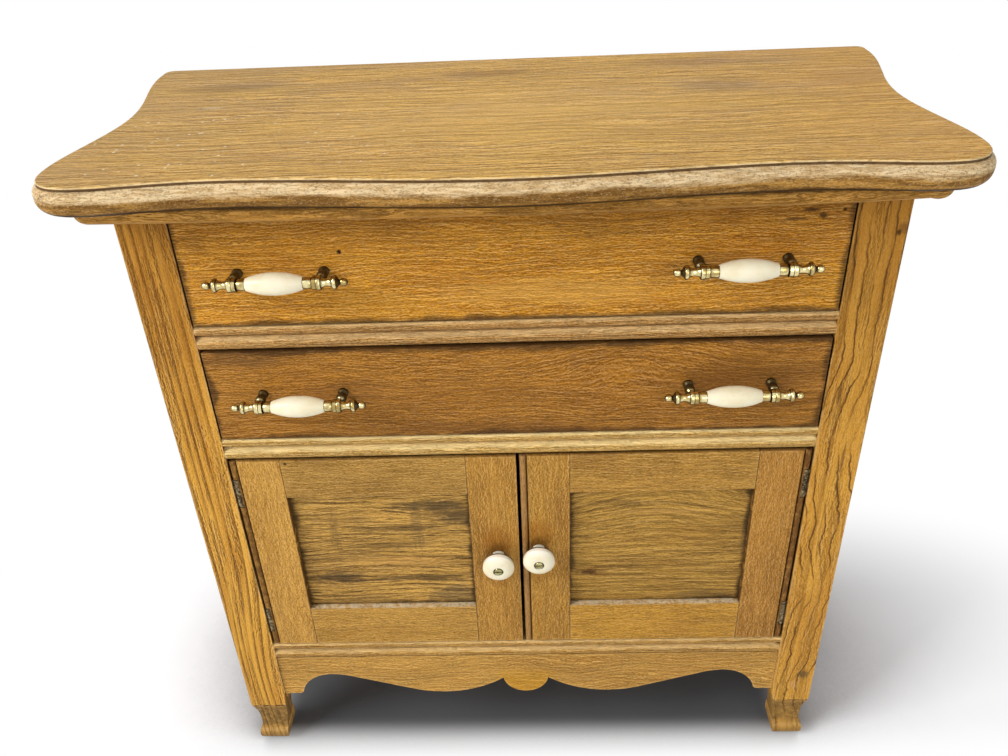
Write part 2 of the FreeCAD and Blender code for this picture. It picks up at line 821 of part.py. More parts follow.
def back_leg(side, sign):
    name = f"back_leg_{side}"
    blank = box(f"{name}_blank", span(sign, inner, outer), (back_legs_start, back), (0, leg_top))
    node(name, cut(f"{name}_cut", blank, carved[name]))


for side, sign in SIDES:
    front_leg(side, sign)
    back_leg(side, sign)

# ---------------------------------------------------------------- sub-top frame


def edges_where(shape, test):
    """Names of the edges whose middle passes the test."""
    names = []
    for index, edge in enumerate(shape.Edges, start=1):
        middle = edge.valueAt((edge.FirstParameter + edge.LastParameter) / 2)
        if test(middle):
            names.append(f"Edge{index}")
    return names


def moulded_strip(name, corners, at, on_outer_edge):
    """Flat strip whose lower outer edge is rounded to a moulding."""
    body = moulding(name, "XY_Plane", corners, S.sub_top_thickness, at=at)
    doc.recompute()
    pad = body.Tip
    rounded = body.newObject("PartDesign::Fillet", f"{name}_round")
    names = edges_where(pad.Shape, lambda middle: abs(middle.z) < 1e-6 and on_outer_edge(middle))
    rounded.Base = (pad, names)
    bind(rounded, "Radius", S.sub_top_round)
    return body


strip_end = outer + S.sub_top_side
strip_front = front - S.sub_top_overhang
strips = [moulded_strip(
    "front_moulding",
    [
        (-strip_end, 0, S.sub_top_bow),
        (strip_end, 0),
        (inner, S.sub_top_overhang + S.leg_depth),
        (-inner, S.sub_top_overhang + S.leg_depth),
    ],
    (0, strip_front, leg_top), lambda middle: middle.y <= 0)]
for side, sign in SIDES:
    corners = [(strip_end, strip_front), (strip_end, back), (inner, back), (inner, legs_end)]
    if sign < 0:
        corners = mirrored(corners)
    edge_x = strip_end.value
    strips.append(moulded_strip(f"{side}_moulding", corners, (0, 0, leg_top),
                                lambda middle: abs(middle.x) > edge_x - 1e-6))
strips.append(box("back_strip", (-inner, inner), (back_legs_start, back), (leg_top, sub_top_top)))
node("top_moulding", group("moulding_set", strips))

# ---------------------------------------------------------------- top board


def wave(start, end, count):
    """Points along half a cosine wave between a crest and a hollow, both level, less the last."""
    points = []
    for index in range(count):
        share = index / count
        swing = (1 - math.cos(math.pi * share)) / 2
        points.append((start[0] + (end[0] - start[0]) * share, start[1] + (end[1] - start[1]) * swing))
    return points


def top_curve():
    """Right half of the board's serpentine edge from the middle of the front to the rear lobe,
    as (x, y, outward normal's x, y)."""
    face = front.value
    side = outer.value
    bow = (0, face - S.bow_overhang.value)
    hollow = (side - S.hollow_inset.value, face - S.hollow_overhang.value)
    corner = (side + S.corner_side.value - S.corner_run.value, face - S.corner_overhang.value)
    flank = (face - S.corner_ahead.value, side + S.corner_side.value)
    waist = (face + S.waist_behind.value, side + S.waist_side.value)
    rear = (back.value - S.lobe_ahead.value, side + S.lobe_side.value)
    points = wave(bow, hollow, 4) + wave(hollow, corner, 3) + [corner]
    across, along = flank[1] - corner[0], flank[0] - corner[1]
    for turn in (30, 60):
        swell = 1.02                                    # a little squarer than an ellipse
        points.append((corner[0] + across * math.sin(math.radians(turn)) * swell,
                       flank[0] - along * math.cos(math.radians(turn)) * swell))
    points += [(x, y) for y, x in wave(flank, waist, 3) + wave(waist, rear, 4)]
    return points + [(rear[1], rear[0])]


def outline(inset):
    """Closed outline of the top board, set in from its outermost line."""
    points = [Vector(x, y, 0) for x, y in top_curve()]
    whole = [Vector(-p.x, p.y, 0) for p in reversed(points[1:])] + points
    curve = Part.BSplineCurve()
    curve.interpolate(whole)
    if inset:
        inner_points = []
        for point in whole:
            along = curve.tangent(curve.parameter(point))[0]
            inner_points.append(point + Vector(-along.y, along.x, 0) * inset)
        curve = Part.BSplineCurve()
        curve.interpolate(inner_points)
    corner = S.top_round_under.value + 2.5
    rear = back.value + S.back_overhang.value + S.back_trim.value
    start, end = curve.StartPoint, curve.EndPoint
    radius = corner - inset
    turn = Vector(end.x - radius, rear - corner, 0)
    across = Vector(radius * math.sqrt(0.5), radius * math.sqrt(0.5), 0)
    back_right = Vector(turn.x, rear - inset, 0)
    side_right = Vector(end.x, turn.y, 0)
    flip = lambda p: Vector(-p.x, p.y, 0)
    edges = [
        curve.toShape(),
        Part.LineSegment(end, side_right).toShape(),
        Part.Arc(side_right, turn + across, back_right).toShape(),
        Part.LineSegment(back_right, flip(back_right)).toShape(),
        Part.Arc(flip(back_right), flip(turn + across), flip(side_right)).toShape(),
        Part.LineSegment(flip(side_right), start).toShape(),
    ]
    return Part.Face(Part.Wire(edges))


def rounded(solid, height, radius):
    """Rounds the solid's edges that lie at a height."""
    edges = [edge for edge in solid.Edges
             if all(abs(vertex.Z - height) < 1e-6 for vertex in edge.Vertexes)]
    return solid.makeFillet(radius, edges)


def top_shape():
    edge = outline(0).extrude(Vector(0, 0, S.top_edge.value))
    edge = rounded(edge, S.top_edge.value, S.top_round_over.value)
    edge = rounded(edge, 0, S.top_round_under.value)
    thickness = S.top_edge.value + S.top_field.value
    field = outline(S.top_field_set.value)
    field.translate(Vector(0, 0, S.top_edge.value / 2))
    field = field.extrude(Vector(0, 0, thickness - S.top_edge.value / 2))
    field = rounded(field, thickness, S.top_field_round.value)
    width = S.case_width.value + S.lobe_side.value * 2
    trim = Part.makeBox(width, S.back_trim.value * 2, thickness,
                        Vector(-width / 2, back.value + S.back_overhang.value, 0))
    return edge.fuse(field).cut(trim).removeSplitter()


top = doc.addObject("Part::Feature", "top_board_shape")
top.Shape = top_shape()
place(top, z=sub_top_top)
node("top_board", top)

# ---------------------------------------------------------------- drawers


def pull(name, x, y, z, wood):
    """Turned brass and ceramic pull: posts, spindle, ferrules, grip and the screws behind."""
    posts, ferrules, screws = [], [], []
    half = S.post_spacing / 2
    head = S.head_width / 2
    barrel = S.barrel_length / 2
    bore = S.rod_radius + S.fit
    tunnel = cylinder(f"{name}_tunnel", "x", (x - half * 2, y - S.pull_reach, z), bore, half * 4)
    for side, sign in SIDES:
        at = (x + half * sign, y, z)
        stem = turned(f"{name}_stem_{side}", "-y", at, [
            (0, 0),
            (S.post_base, 0),
            (S.post_base, S.post_base_height),
            (S.post_radius * 0.8, S.post_base_height * 2, S.post_base_height * 0.5),
            (S.post_radius, S.pull_reach - S.head_radius - S.post_taper),
            (S.post_neck, S.pull_reach - S.head_radius),
            (S.post_neck, S.pull_reach),
            (0, S.pull_reach),
        ])
        ring = turned(f"{name}_head_{side}", "x", (at[0], y - S.pull_reach, z), [
            (0, -head),
            (S.head_radius * 0.82, -head, S.head_width * 0.1),
            (S.head_radius, -head * 0.3),
            (S.head_radius, head * 0.3, S.head_width * 0.1),
            (S.head_radius * 0.82, head),
            (0, head),
        ])
        hole = cylinder(f"{name}_thread_{side}", "-y", at, S.pull_screw_shank + S.fit,
                        S.pull_screw_bite + S.fit)
        posts.append(cut(f"{name}_post_{side}", fuse(f"{name}_post_{side}_whole", [stem, ring]),
                         [tunnel, hole]))
        ferrules.append(turned(f"{name}_ferrule_{side}", TOWARDS[sign],
                               (x + barrel * sign, y - S.pull_reach, z), [
            (bore, 0),
            (S.ferrule_radius * 0.9, 0, S.ferrule_radius * 0.1),
            (S.ferrule_radius * 0.8, half - head - barrel - S.ferrule_ring_width),
            (S.ferrule_ring, half - head - barrel - S.ferrule_ring_width),
            (S.ferrule_ring, half - head - barrel),
            (bore, half - head - barrel),
        ]))
        through = S.drawer_front
        carved[wood].append(cylinder(f"{name}_hole_{side}", "y", at, S.pull_screw_shank + S.fit, through))
        screws.append(turned(f"{name}_screw_{side}", "-y", (at[0], y + through, z), [
            (0, -S.pull_screw_head_height),
            (S.pull_screw_head * 0.7, -S.pull_screw_head_height, S.pull_screw_head_height * 0.2),
            (S.pull_screw_head, 0),
            (S.pull_screw_shank, 0),
            (S.pull_screw_shank, through + S.pull_screw_bite),
            (0, through + S.pull_screw_bite),
        ]))
    centre = (x, y - S.pull_reach, z)
    waist = half + head + S.waist_length
    ring_end = waist + S.ring_width
    end = ring_end + S.tip_length
    turning = [
        (S.rod_radius, half + head),
        (S.ring_radius * 0.85, half + head, -S.waist_radius * 0.5),
        (S.ring_radius * 0.85, waist, S.ring_width * 0.3),
        (S.ring_radius * 0.85, ring_end),
        (S.tip_radius * 0.65, ring_end + S.tip_length * 0.25, S.tip_length * 0.18),
        (S.tip_radius * 0.5, end),
        (0, end),
    ]
    opposite = [(u, -Size.of(v), *(turning[index - 1][2:] if index else ()))
                for index, (u, v, *_) in enumerate(turning)]
    spindle = turned(f"{name}_spindle", "x", centre, list(reversed(opposite)) + turning)
    grip = turned(f"{name}_barrel", "x", centre, [
        (bore, -barrel),
        (S.barrel_end, -barrel, S.barrel_radius - S.barrel_end),
        (S.barrel_end, barrel),
        (bore, barrel),
    ])
    return posts, spindle, ferrules, grip, screws


def drawer(name, opening_bottom, opening_top):
    end = inner - S.drawer_side_gap
    front_back = front + S.drawer_front
    rear = back_rail_front - S.drawer_rear_gap
    low = opening_bottom + S.rest
    front_top = opening_top - S.drawer_top_gap
    high = front_top - S.drawer_side_drop
    side_inner_x = end - S.drawer_side
    pitch = (high - low) / TAILS
    floor_low = low + pitch / 2 - S.drawer_floor / 2      # its groove ends in the lowest tails
    floor_high = floor_low + S.drawer_floor
    floor_end = side_inner_x + S.drawer_groove
    back_y = (rear - S.drawer_back_set - S.drawer_side, rear - S.drawer_back_set)
    back_z = (floor_high, high - S.drawer_back_drop)
    back_end = side_inner_x + S.drawer_groove
    front_board = f"{name}_front_board"
    sides = {}
    for side, sign in SIDES:
        x = span(sign, side_inner_x, end)
        pieces = [box(f"{name}_{side}_board", x, (front_back, rear), (low, high))]
        for index in range(TAILS):
            middle = low + pitch * (index + 0.5)
            tip = wider((middle, middle), S.tail_tip / 2)
            root_ends = wider((middle, middle), S.tail_root / 2)
            tail_y = (front + S.drawer_lap, front_back)
            pieces.append(wedge(f"{name}_{side}_tail_{index + 1}", x, tail_y, tip, root_ends))
            carved[front_board].append(wedge(
                f"{name}_{side}_socket_{index + 1}", span(sign, side_inner_x - S.fit, outer),
                (tail_y[0] - S.fit, front_back), wider(tip, S.fit), wider(root_ends, S.fit)))
        grooves = [
            box(f"{name}_{side}_groove", span(sign, side_inner_x, floor_end), (front, rear),
                wider((floor_low, floor_high), S.fit)),
            box(f"{name}_{side}_dado", span(sign, side_inner_x, back_end), wider(back_y, S.fit),
                (floor_low, high)),
        ]
        sides[side] = cut(f"{name}_{side}_side_cut", fuse(f"{name}_{side}_whole", pieces), grooves)
    posts, spindles, ferrules, grips, screws = [], [], [], [], []
    for side, sign in SIDES:
        made = pull(f"{name}_{side}_pull", S.pull_from_middle * sign, front,
                    opening_bottom + S.pull_rise, front_board)
        posts.extend(made[0])
        spindles.append(made[1])
        ferrules.extend(made[2])
        grips.append(made[3])
        screws.extend(made[4])
    carved[front_board].append(box(
        f"{name}_front_groove", (-floor_end, floor_end), (front_back - S.drawer_groove, front_back),
        wider((floor_low, floor_high), S.fit)))
    blank = box(f"{name}_front_blank", (-end, end), (front, front_back),
                (opening_bottom + S.drawer_foot_gap, front_top))
    node(f"{name}_drawer_front", cut(front_board, blank, carved[front_board]))
    node(f"{name}_drawer_left_side", sides["left"])
    node(f"{name}_drawer_right_side", sides["right"])
    node(f"{name}_drawer_back", box(f"{name}_back_board", (S.fit - back_end, back_end - S.fit),
                                    back_y, back_z))
    node(f"{name}_drawer_bottom", box(
        f"{name}_floor_board", (S.fit - floor_end, floor_end - S.fit),
        (front_back - S.drawer_groove + S.fit, rear), (floor_low, floor_high)))
    node(f"{name}_pull_posts", group(f"{name}_post_set", posts))
    node(f"{name}_pull_spindles", group(f"{name}_spindle_set", spindles))
    node(f"{name}_pull_ferrules", group(f"{name}_ferrule_set", ferrules))
    node(f"{name}_pull_barrels", group(f"{name}_barrel_set", grips))
    node(f"{name}_pull_screws", group(f"{name}_screw_set", screws))


drawer("upper", upper_bottom, leg_top)
drawer("lower", lower_bottom, lower_top)

# ---------------------------------------------------------------- doors


def stile_section(width, beaded):
    """Stile from its free edge inward: an edge bead and quirk, or a plain edge, then the groove."""
    groove = (S.door_panel_set, S.door_panel_set + S.door_panel + S.fit * 2)
    if beaded:
        start = [
            (0, S.bead_radius, S.bead_radius * ROUND),
            (S.bead_radius, 0, S.bead_radius * ROUND),
            (S.bead_radius * 2, S.bead_radius),
            (S.bead_radius * 2 + S.quirk, 0),
        ]
    else:
        start = [(0, 0)]
    return [(0, S.door_thickness)] + start + [
        (width, 0),
        (width, groove[0]),
        (width - S.door_groove, groove[0]),
        (width - S.door_groove, groove[1]),
        (width, groove[1]),
        (width, S.door_thickness),
    ]


def door(side, sign, knob_height, knob_inset, meeting_bead):
    hinge_edge = inner - S.door_side_gap
    meeting_edge = S.meeting_gap / 2
    height = door_top - door_bottom
    stile = f"{side}_hinge_stile"
    section = stile_section(S.hinge_stile, True)
    hinge_stile = moulding(f"{stile}_bar", "XY_Plane", mirrored(section) if sign > 0 else section,
                           height, at=(hinge_edge * sign, front, door_bottom))
    node(f"{side}_door_hinge_stile", cut(stile, hinge_stile, carved[stile]))

    section = stile_section(S.meeting_stile, meeting_bead)
    meeting_stile = moulding(f"{side}_meeting_stile_bar", "XY_Plane",
                             section if sign > 0 else mirrored(section),
                             height, at=(meeting_edge * sign, front, door_bottom))
    knob_x = (meeting_edge + knob_inset) * sign
    at = (knob_x, front, knob_height)
    hole = S.knob_screw_shank + S.fit
    node(f"{side}_door_meeting_stile", cut(f"{side}_meeting_stile", meeting_stile, [
        cylinder(f"{side}_knob_hole", "y", at, hole, S.knob_screw_bite + S.fit)]))

    inside = (meeting_edge + S.meeting_stile, hinge_edge - S.hinge_stile)
    reach = S.door_groove - S.fit
    groove_y = (front + S.door_panel_set, front + S.door_panel_set + S.door_panel + S.fit * 2)
    tongue_y = wider(groove_y, -S.fit)
    thick = (front, front + S.door_thickness)
    opening = (door_bottom + S.door_bottom_rail, door_top - S.door_top_rail)
    for end, low, high, groove, tongue in (
            ("top", opening[1], door_top, (opening[1], opening[1] + S.door_groove),
             (opening[1] + S.door_groove, door_top)),
            ("bottom", door_bottom, opening[0], (opening[0] - S.door_groove, opening[0]),
             (door_bottom, opening[0] - S.door_groove))):
        name = f"{side}_door_{end}_rail"
        node(name, cut(f"{name}_cut", fuse(f"{name}_whole", [
            box(f"{name}_bar", span(sign, *inside), thick, (low, high)),
            box(f"{name}_tongue", span(sign, *wider(inside, reach)), tongue_y, tongue),
        ]), [box(f"{name}_groove", span(sign, *inside), groove_y, groove)]))
    node(f"{side}_door_panel", box(f"{side}_panel", span(sign, *wider(inside, reach)), tongue_y,
                                   wider(opening, reach)))
    node(f"{side}_door_hinge_leaves", group(f"{side}_leaf_pair", door_leaves[side]))
    node(f"{side}_door_hinge_screws", group(f"{side}_screw_set", door_screws[side]))
    rim = S.knob_reach - S.knob_face
    seat = S.knob_reach - S.knob_recess
    node(f"{side}_door_knob", turned(f"{side}_knob", "-y", at, [
        (hole, 0),
        (S.knob_base, 0),
        (S.knob_base, S.knob_reach * 0.07),
        (S.knob_neck, S.knob_reach * 0.15, S.knob_neck * 0.05),
        (S.knob_neck, rim - S.knob_rim * 1.4),
        (S.knob_radius * 0.6, rim - S.knob_rim * 1.15),
        (S.knob_radius * 0.95, rim - S.knob_rim),
        (S.knob_radius, rim - S.knob_rim * 0.8),
        (S.knob_radius, rim, S.knob_radius * 0.1),
        (S.knob_screw_head + S.fit * 3, S.knob_reach),
        (S.knob_screw_head + S.fit, seat),
        (hole, seat),
    ]))
    head_top = seat + S.knob_screw_head_height
    screw = turned(f"{side}_knob_bolt", "-y", at, [
        (0, -S.knob_screw_bite),
        (S.knob_screw_shank, -S.knob_screw_bite),
        (S.knob_screw_shank, seat),
        (S.knob_screw_head, seat),
        (S.knob_screw_head, head_top - S.knob_screw_head_height / 2),
        (S.knob_screw_head * 0.8, head_top),
        (0, head_top),
    ])
    slot = box(f"{side}_knob_slot", wider((knob_x, knob_x), S.knob_screw_head * 2),
               (front - head_top, front - head_top + S.knob_screw_head_height / 3),
               wider((knob_height, knob_height), S.knob_screw_head * 0.12))
    node(f"{side}_door_knob_screw", cut(f"{side}_knob_screw", screw, [slot]))


door("left", -1, S.left_knob_height, S.left_knob_inset, False)
door("right", 1, S.right_knob_height, S.right_knob_inset, True)

# ---------------------------------------------------------------- checks and files

doc.recompute()
faults = [thing.Name for thing in doc.Objects if {"Invalid", "Error"} & set(thing.State)]
for thing in nodes:
    if thing.Shape.isNull() or not thing.Shape.isValid() or not thing.Shape.Solids:
        faults.append(thing.Label)
if faults:
    raise SystemExit(f"not built: {', '.join(faults)}")

os.makedirs("parts", exist_ok=True)
for thing in nodes:
    thing.Shape.exportStep(f"parts/{thing.Label}.step")
print(f"{len(nodes)} nodes, {sum(len(thing.Shape.Solids) for thing in nodes)} solids")
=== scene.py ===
"""Looks of the oak washstand: materials, floor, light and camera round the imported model.

Metres, +Z up, front along -Y. Colours are sRGB, from 0 to 255.
"""

import bpy
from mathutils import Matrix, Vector


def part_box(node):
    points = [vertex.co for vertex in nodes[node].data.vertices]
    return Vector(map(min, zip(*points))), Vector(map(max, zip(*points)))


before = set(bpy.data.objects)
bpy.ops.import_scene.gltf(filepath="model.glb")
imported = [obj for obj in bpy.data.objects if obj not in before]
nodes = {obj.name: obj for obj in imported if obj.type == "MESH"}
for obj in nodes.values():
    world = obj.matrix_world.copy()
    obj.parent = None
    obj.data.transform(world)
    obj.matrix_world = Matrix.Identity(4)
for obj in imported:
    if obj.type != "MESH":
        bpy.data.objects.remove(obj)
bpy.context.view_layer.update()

# ---------------------------------------------------------------- shader graphs


def linear(red, green, blue):
    """Linear colour of an sRGB colour given in 0 to 255."""
    channels = []
    for value in (red, green, blue):
        share = value / 255
        channels.append(share / 12.92 if share <= 0.04045 else ((share + 0.055) / 1.055) ** 2.4)
    return (*channels, 1.0)


class Graph:
    """Writes the node tree of a material or world. A socket or a number may stand for any value."""

    def __init__(self, owner):
        owner.use_nodes = True
        self.owner = owner
        self.tree = owner.node_tree
        self.tree.nodes.clear()
        self.place = None
        self.axes = None

    def new(self, kind, **settings):
        made = self.tree.nodes.new(kind)
        for key, value in settings.items():
            setattr(made, key, value)
        return made

    def feed(self, socket, value):
        if isinstance(value, bpy.types.NodeSocket):
            self.tree.links.new(value, socket)
        else:
            socket.default_value = value

    def parts(self, vector):
        """The three parts of a vector or of a colour."""
        made = self.new("ShaderNodeSeparateXYZ")
        self.feed(made.inputs[0], vector)
        return tuple(made.outputs)

    @property
    def coordinates(self):
        """The object's own coordinates, in metres."""
        if self.place is None:
            self.place = self.new("ShaderNodeTexCoord").outputs["Object"]
        return self.place

    def split(self):
        """X, Y and Z of the object's own coordinates."""
        if self.axes is None:
            self.axes = self.parts(self.coordinates)
        return self.axes

    def math(self, operation, *values):
        made = self.new("ShaderNodeMath", operation=operation)
        for socket, value in zip(made.inputs, values):
            self.feed(socket, value)
        return made.outputs[0]

    def add(self, a, b):
        return self.math("ADD", a, b)

    def less(self, a, b):
        return self.math("SUBTRACT", a, b)

    def chain(self, operation, values):
        """One operation over any number of values, from the first to the last."""
        result = values[0]
        for value in values[1:]:
            result = self.math(operation, result, value)
        return result

    def times(self, *values):
        return self.chain("MULTIPLY", values)

    def smallest(self, *values):
        return self.chain("MINIMUM", values)

    def largest(self, *values):
        return self.chain("MAXIMUM", values)

    def centred(self, noise, amount):
        """Noise made to run as far below 0 as above it, times an amount."""
        return self.times(self.less(noise, 0.5), amount)

    def vector(self, x, y, z):
        made = self.new("ShaderNodeCombineXYZ")
        for socket, value in zip(made.inputs, (x, y, z)):
            self.feed(socket, value)
        return made.outputs[0]

    def noise(self, vector, scale, detail=2.0, roughness=0.5):
        made = self.new("ShaderNodeTexNoise")
        self.feed(made.inputs["Vector"], vector)
        for key, value in (("Scale", scale), ("Detail", detail), ("Roughness", roughness)):
            self.feed(made.inputs[key], value)
        return made.outputs["Fac"]

    def fibres(self, grain, length, width, detail=2.0, roughness=0.55):
        """Noise drawn out along the grain; its blotches have the given length and width."""
        u, v, w = grain
        drawn = self.vector(self.times(u, 1 / length), self.times(v, 1 / width),
                            self.times(w, 1 / width))
        return self.noise(drawn, 1.0, detail, roughness)

    def slope(self, grain, length, width, detail=2.5, roughness=0.6):
        """How fibre noise changes across the grain: above 0 on one side of a fibre, else below."""
        u, v, w = grain
        beside = (u, self.add(v, width * 0.45), w)
        return self.less(self.fibres(grain, length, width, detail, roughness),
                         self.fibres(beside, length, width, detail, roughness))

    def ramp(self, value, low, high, out_low=0.0, out_high=1.0):
        """Smooth step of a value from low to high."""
        made = self.new("ShaderNodeMapRange", interpolation_type="SMOOTHSTEP")
        for socket, number in zip(made.inputs, (value, low, high, out_low, out_high)):
            self.feed(socket, number)
        return made.outputs[0]

    def window(self, value, start, full, fade, gone):
        """0 up to start, 1 from full to fade, 0 again from gone. The four may rise or fall."""
        return self.times(self.ramp(value, start, full), self.ramp(value, gone, fade))

    def blend(self, kind, share, a, b, first, output):
        """A mix node; first is the index of the kind's first input."""
        made = self.new("ShaderNodeMix", data_type=kind)
        for index, value in ((0, share), (first, a), (first + 1, b)):
            self.feed(made.inputs[index], value)
        return made.outputs[output]

    def mix(self, share, a, b):
        """Colour a, and with a share of 1 colour b."""
        return self.blend("RGBA", share, a, b, first=6, output=2)

    def choose(self, share, a, b):
        """Number a, and with a share of 1 number b."""
        return self.blend("FLOAT", share, a, b, first=2, output=0)

    def paint(self, colour, tone, *shares):
        """Lays a tone over a colour, as thick as the product of the shares."""
        return self.mix(self.times(*shares), colour, linear(*tone))

    def nearness(self, distance, inside=False, samples=6):
        """1 where other surfaces, or with inside the solid's own far faces, are near; 0 in the open."""
        made = self.new("ShaderNodeAmbientOcclusion", samples=samples, inside=inside,
                        only_local=inside)
        self.feed(made.inputs["Distance"], distance)
        return self.less(1.0, made.outputs["AO"])

    def normal(self):
        """X, Y and Z of the surface's own direction. Z is 1 for a face that looks up."""
        return self.parts(self.new("ShaderNodeNewGeometry").outputs["Normal"])

    def hill(self, centre, radii, ragged=0.0):
        """1 at a place on the object, falling to 0 at the radii, with a ragged rim."""
        place = self.new("ShaderNodeVectorMath", operation="SUBTRACT")
        self.feed(place.inputs[0], self.coordinates)
        place.inputs[1].default_value = centre
        scaled = self.new("ShaderNodeVectorMath", operation="MULTIPLY")
        self.feed(scaled.inputs[0], place.outputs[0])
        scaled.inputs[1].default_value = [1 / radius for radius in radii]
        length = self.new("ShaderNodeVectorMath", operation="LENGTH")
        self.feed(length.inputs[0], scaled.outputs[0])
        away = length.outputs["Value"]
        if ragged:
            rim = self.noise(scaled.outputs[0], 2.6, 3.0, 0.65)
            away = self.add(away, self.centred(rim, ragged))
        return self.ramp(away, 1.0, 0.0)

    def spot(self, colour, tone, share, centre, radii, ragged=0.9):
        """A soft mark round one place on the object."""
        return self.paint(colour, tone, self.ramp(self.hill(centre, radii, ragged), 0.0, 0.8), share)

    def spots(self, colour, face, marks, ragged=0.9):
        """Soft marks on the upright face at Y = face: place and radii in X and Z, tone, share."""
        for (x, z), (wide, high), tone, share in marks:
            colour = self.spot(colour, tone, share, (x, face, z), (wide, 0.03, high), ragged)
        return colour

    def grit(self, colour, vector, scale, share, dark, pale):
        """Fine dark and pale specks."""
        speck = self.noise(vector, scale, 2.0, 0.7)
        colour = self.paint(colour, dark, self.ramp(speck, 0.49, 0.32), share)
        return self.paint(colour, pale, self.ramp(speck, 0.53, 0.70), share * 0.8)

    def finish(self, colour, roughness, height, depth, **plain):
        """Ends a material's tree in one Principled shader with a bump."""
        shader = self.new("ShaderNodeBsdfPrincipled")
        output = self.new("ShaderNodeOutputMaterial")
        self.tree.links.new(shader.outputs[0], output.inputs["Surface"])
        self.feed(shader.inputs["Base Color"], colour)
        self.feed(shader.inputs["Roughness"], roughness)
        for key, value in plain.items():
            self.feed(shader.inputs[key.replace("_", " ")], value)
        bump = self.new("ShaderNodeBump")
        self.feed(bump.inputs["Height"], height)
        bump.inputs["Distance"].default_value = depth
        self.tree.links.new(bump.outputs[0], shader.inputs["Normal"])
        return self.owner


def material_graph(name):
    return Graph(bpy.data.materials.new(name))


def dress(material, *names):
    for name in names:
        for slot in nodes[name].material_slots:
            slot.material = material
        if not nodes[name].material_slots:
            nodes[name].data.materials.append(material)


def sides(name, axes):
    """Distance of a point on a node's front face from the nearest side of its box, along the axes."""
    low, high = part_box(name)
    face_depth = 0.002

    def distance(graph):
        found = []
        for axis in axes:
            index = "xyz".index(axis)
            place = graph.split()[index]
            found += [graph.less(place, low[index]), graph.less(high[index], place)]
        return graph.largest(graph.smallest(*found), graph.less(graph.split()[1], low.y + face_depth))
    return distance


# ---------------------------------------------------------------- wood

# what one board's grain is made of; lengths and widths in metres, shares from 0 to 1
OAK = dict(
    waver=(0.022, 0.003),               # how far the grain wanders, slowly and in ripples
    wave=0.10,                          # over what length it wanders
    streak=(0.10, 0.005), streaks=0.5,  # tonal streaks, against broad stains
    pitch=0.009, rings=0.5,             # dark lines of the growth rings
    cord=(0.05, 0.003), cords=0.5,      # long fibres
    sharp=0.05,                         # how steep a fibre must be to show: higher for finer lines
    bands=0.3,                          # how far the open grain keeps to bands, smooth between them
    pore=(0.014, 0.0011), pores=0.6,    # open pores, in short dashes
    gather=0.06,                        # how far the pores gather along the rings
    glints=0.3,                         # pale side of fibres and pores
    grit=0.35,                          # fine specks
    patches=0.15,                       # patches of dirt
    wear=0.45,                          # pale rubbed arrises
    grime=0.75,                         # dark corners and borders: grime, and painted shade
    crests=0.0,                         # faces that look up are rubbed pale and given a painted highlight
    rough=(0.44, 0.60),                 # lowest and highest roughness between the pores
)
# dark tone of dirt, and of the painted shade in corners and under the top
SOOT_AND_SHADE = (58, 38, 20)
SEED_STEPS = (1.37, 0.731, 0.413)       # metres of wood between two seeds, in each direction
GRAIN_DEPTH = 0.0009                    # depth of the bump
WOOD_SHINE = 0.08


def lie_of_grain(graph, kind, along, seed, swap, bend):
    """Coordinates along the grain, across it and into the board, wandering as the grain does."""
    x, y, z = graph.split()
    u, v, w = {"x": (x, z, y), "y": (y, z, x), "z": (z, x, y), "flat": (x, y, z)}[along]
    if swap:
        mask = swap(graph)
        u, v = graph.choose(mask, x, y), graph.choose(mask, y, x)
    if bend:
        v = graph.add(v, bend(graph))
    u, v, w = (graph.add(place, seed * step) for place, step in zip((u, v, w), SEED_STEPS))
    drift = graph.fibres((u, v, w), kind["wave"] * 2, 0.05, 1.0)
    ripple = graph.fibres((u, v, w), kind["wave"] * 0.35, 0.012, 2.0)
    slow, quick = kind["waver"]
    return u, graph.add(v, graph.add(graph.centred(drift, slow), graph.centred(ripple, quick))), w


def growth_rings(graph, grain, pitch):
    """The late wood, and its dark lines: each sharp on its far side, strong or faint, and broken."""
    u, v, w = grain
    course = graph.math("DIVIDE", graph.add(v, graph.times(w, 0.6)), pitch)
    ring = graph.math("FRACT", course)
    number = graph.times(graph.math("FLOOR", course), 3.7)
    strength = graph.noise(graph.vector(number, graph.times(u, 4.0), 0.0), 1.0, 1.0)
    broken = graph.fibres(grain, 0.012, 0.0015, 3.0, 0.7)
    lines = graph.times(graph.window(ring, 0.62, 0.90, 0.955, 1.0),
                        graph.ramp(strength, 0.36, 0.60, 0.15, 1.0), graph.ramp(broken, 0.36, 0.54))
    return graph.window(ring, 0.30, 0.75, 0.94, 1.0), lines


def open_grain(graph, grain, kind, late):
    """Fibres and pores, which are dark on one side, and the glints, which are their pale side."""
    fibre = graph.slope(grain, *kind["cord"])
    pore = graph.slope(grain, *kind["pore"])
    band = graph.fibres(grain, 0.12, 0.012, 2.0, 0.6)
    opened = graph.ramp(band, 0.44, 0.56, 1 - kind["bands"], 1.0)
    steep = kind["sharp"]
    cords = graph.times(graph.ramp(fibre, steep, steep + 0.08), opened)
    gathered = graph.add(pore, graph.centred(late, kind["gather"]))
    pores = graph.times(graph.ramp(gathered, 0.04, 0.12), opened)
    glints = graph.largest(graph.times(graph.ramp(fibre, -steep, -steep - 0.09), opened),
                           graph.times(graph.ramp(pore, -0.05, -0.13), 0.7))
    return cords, pores, glints


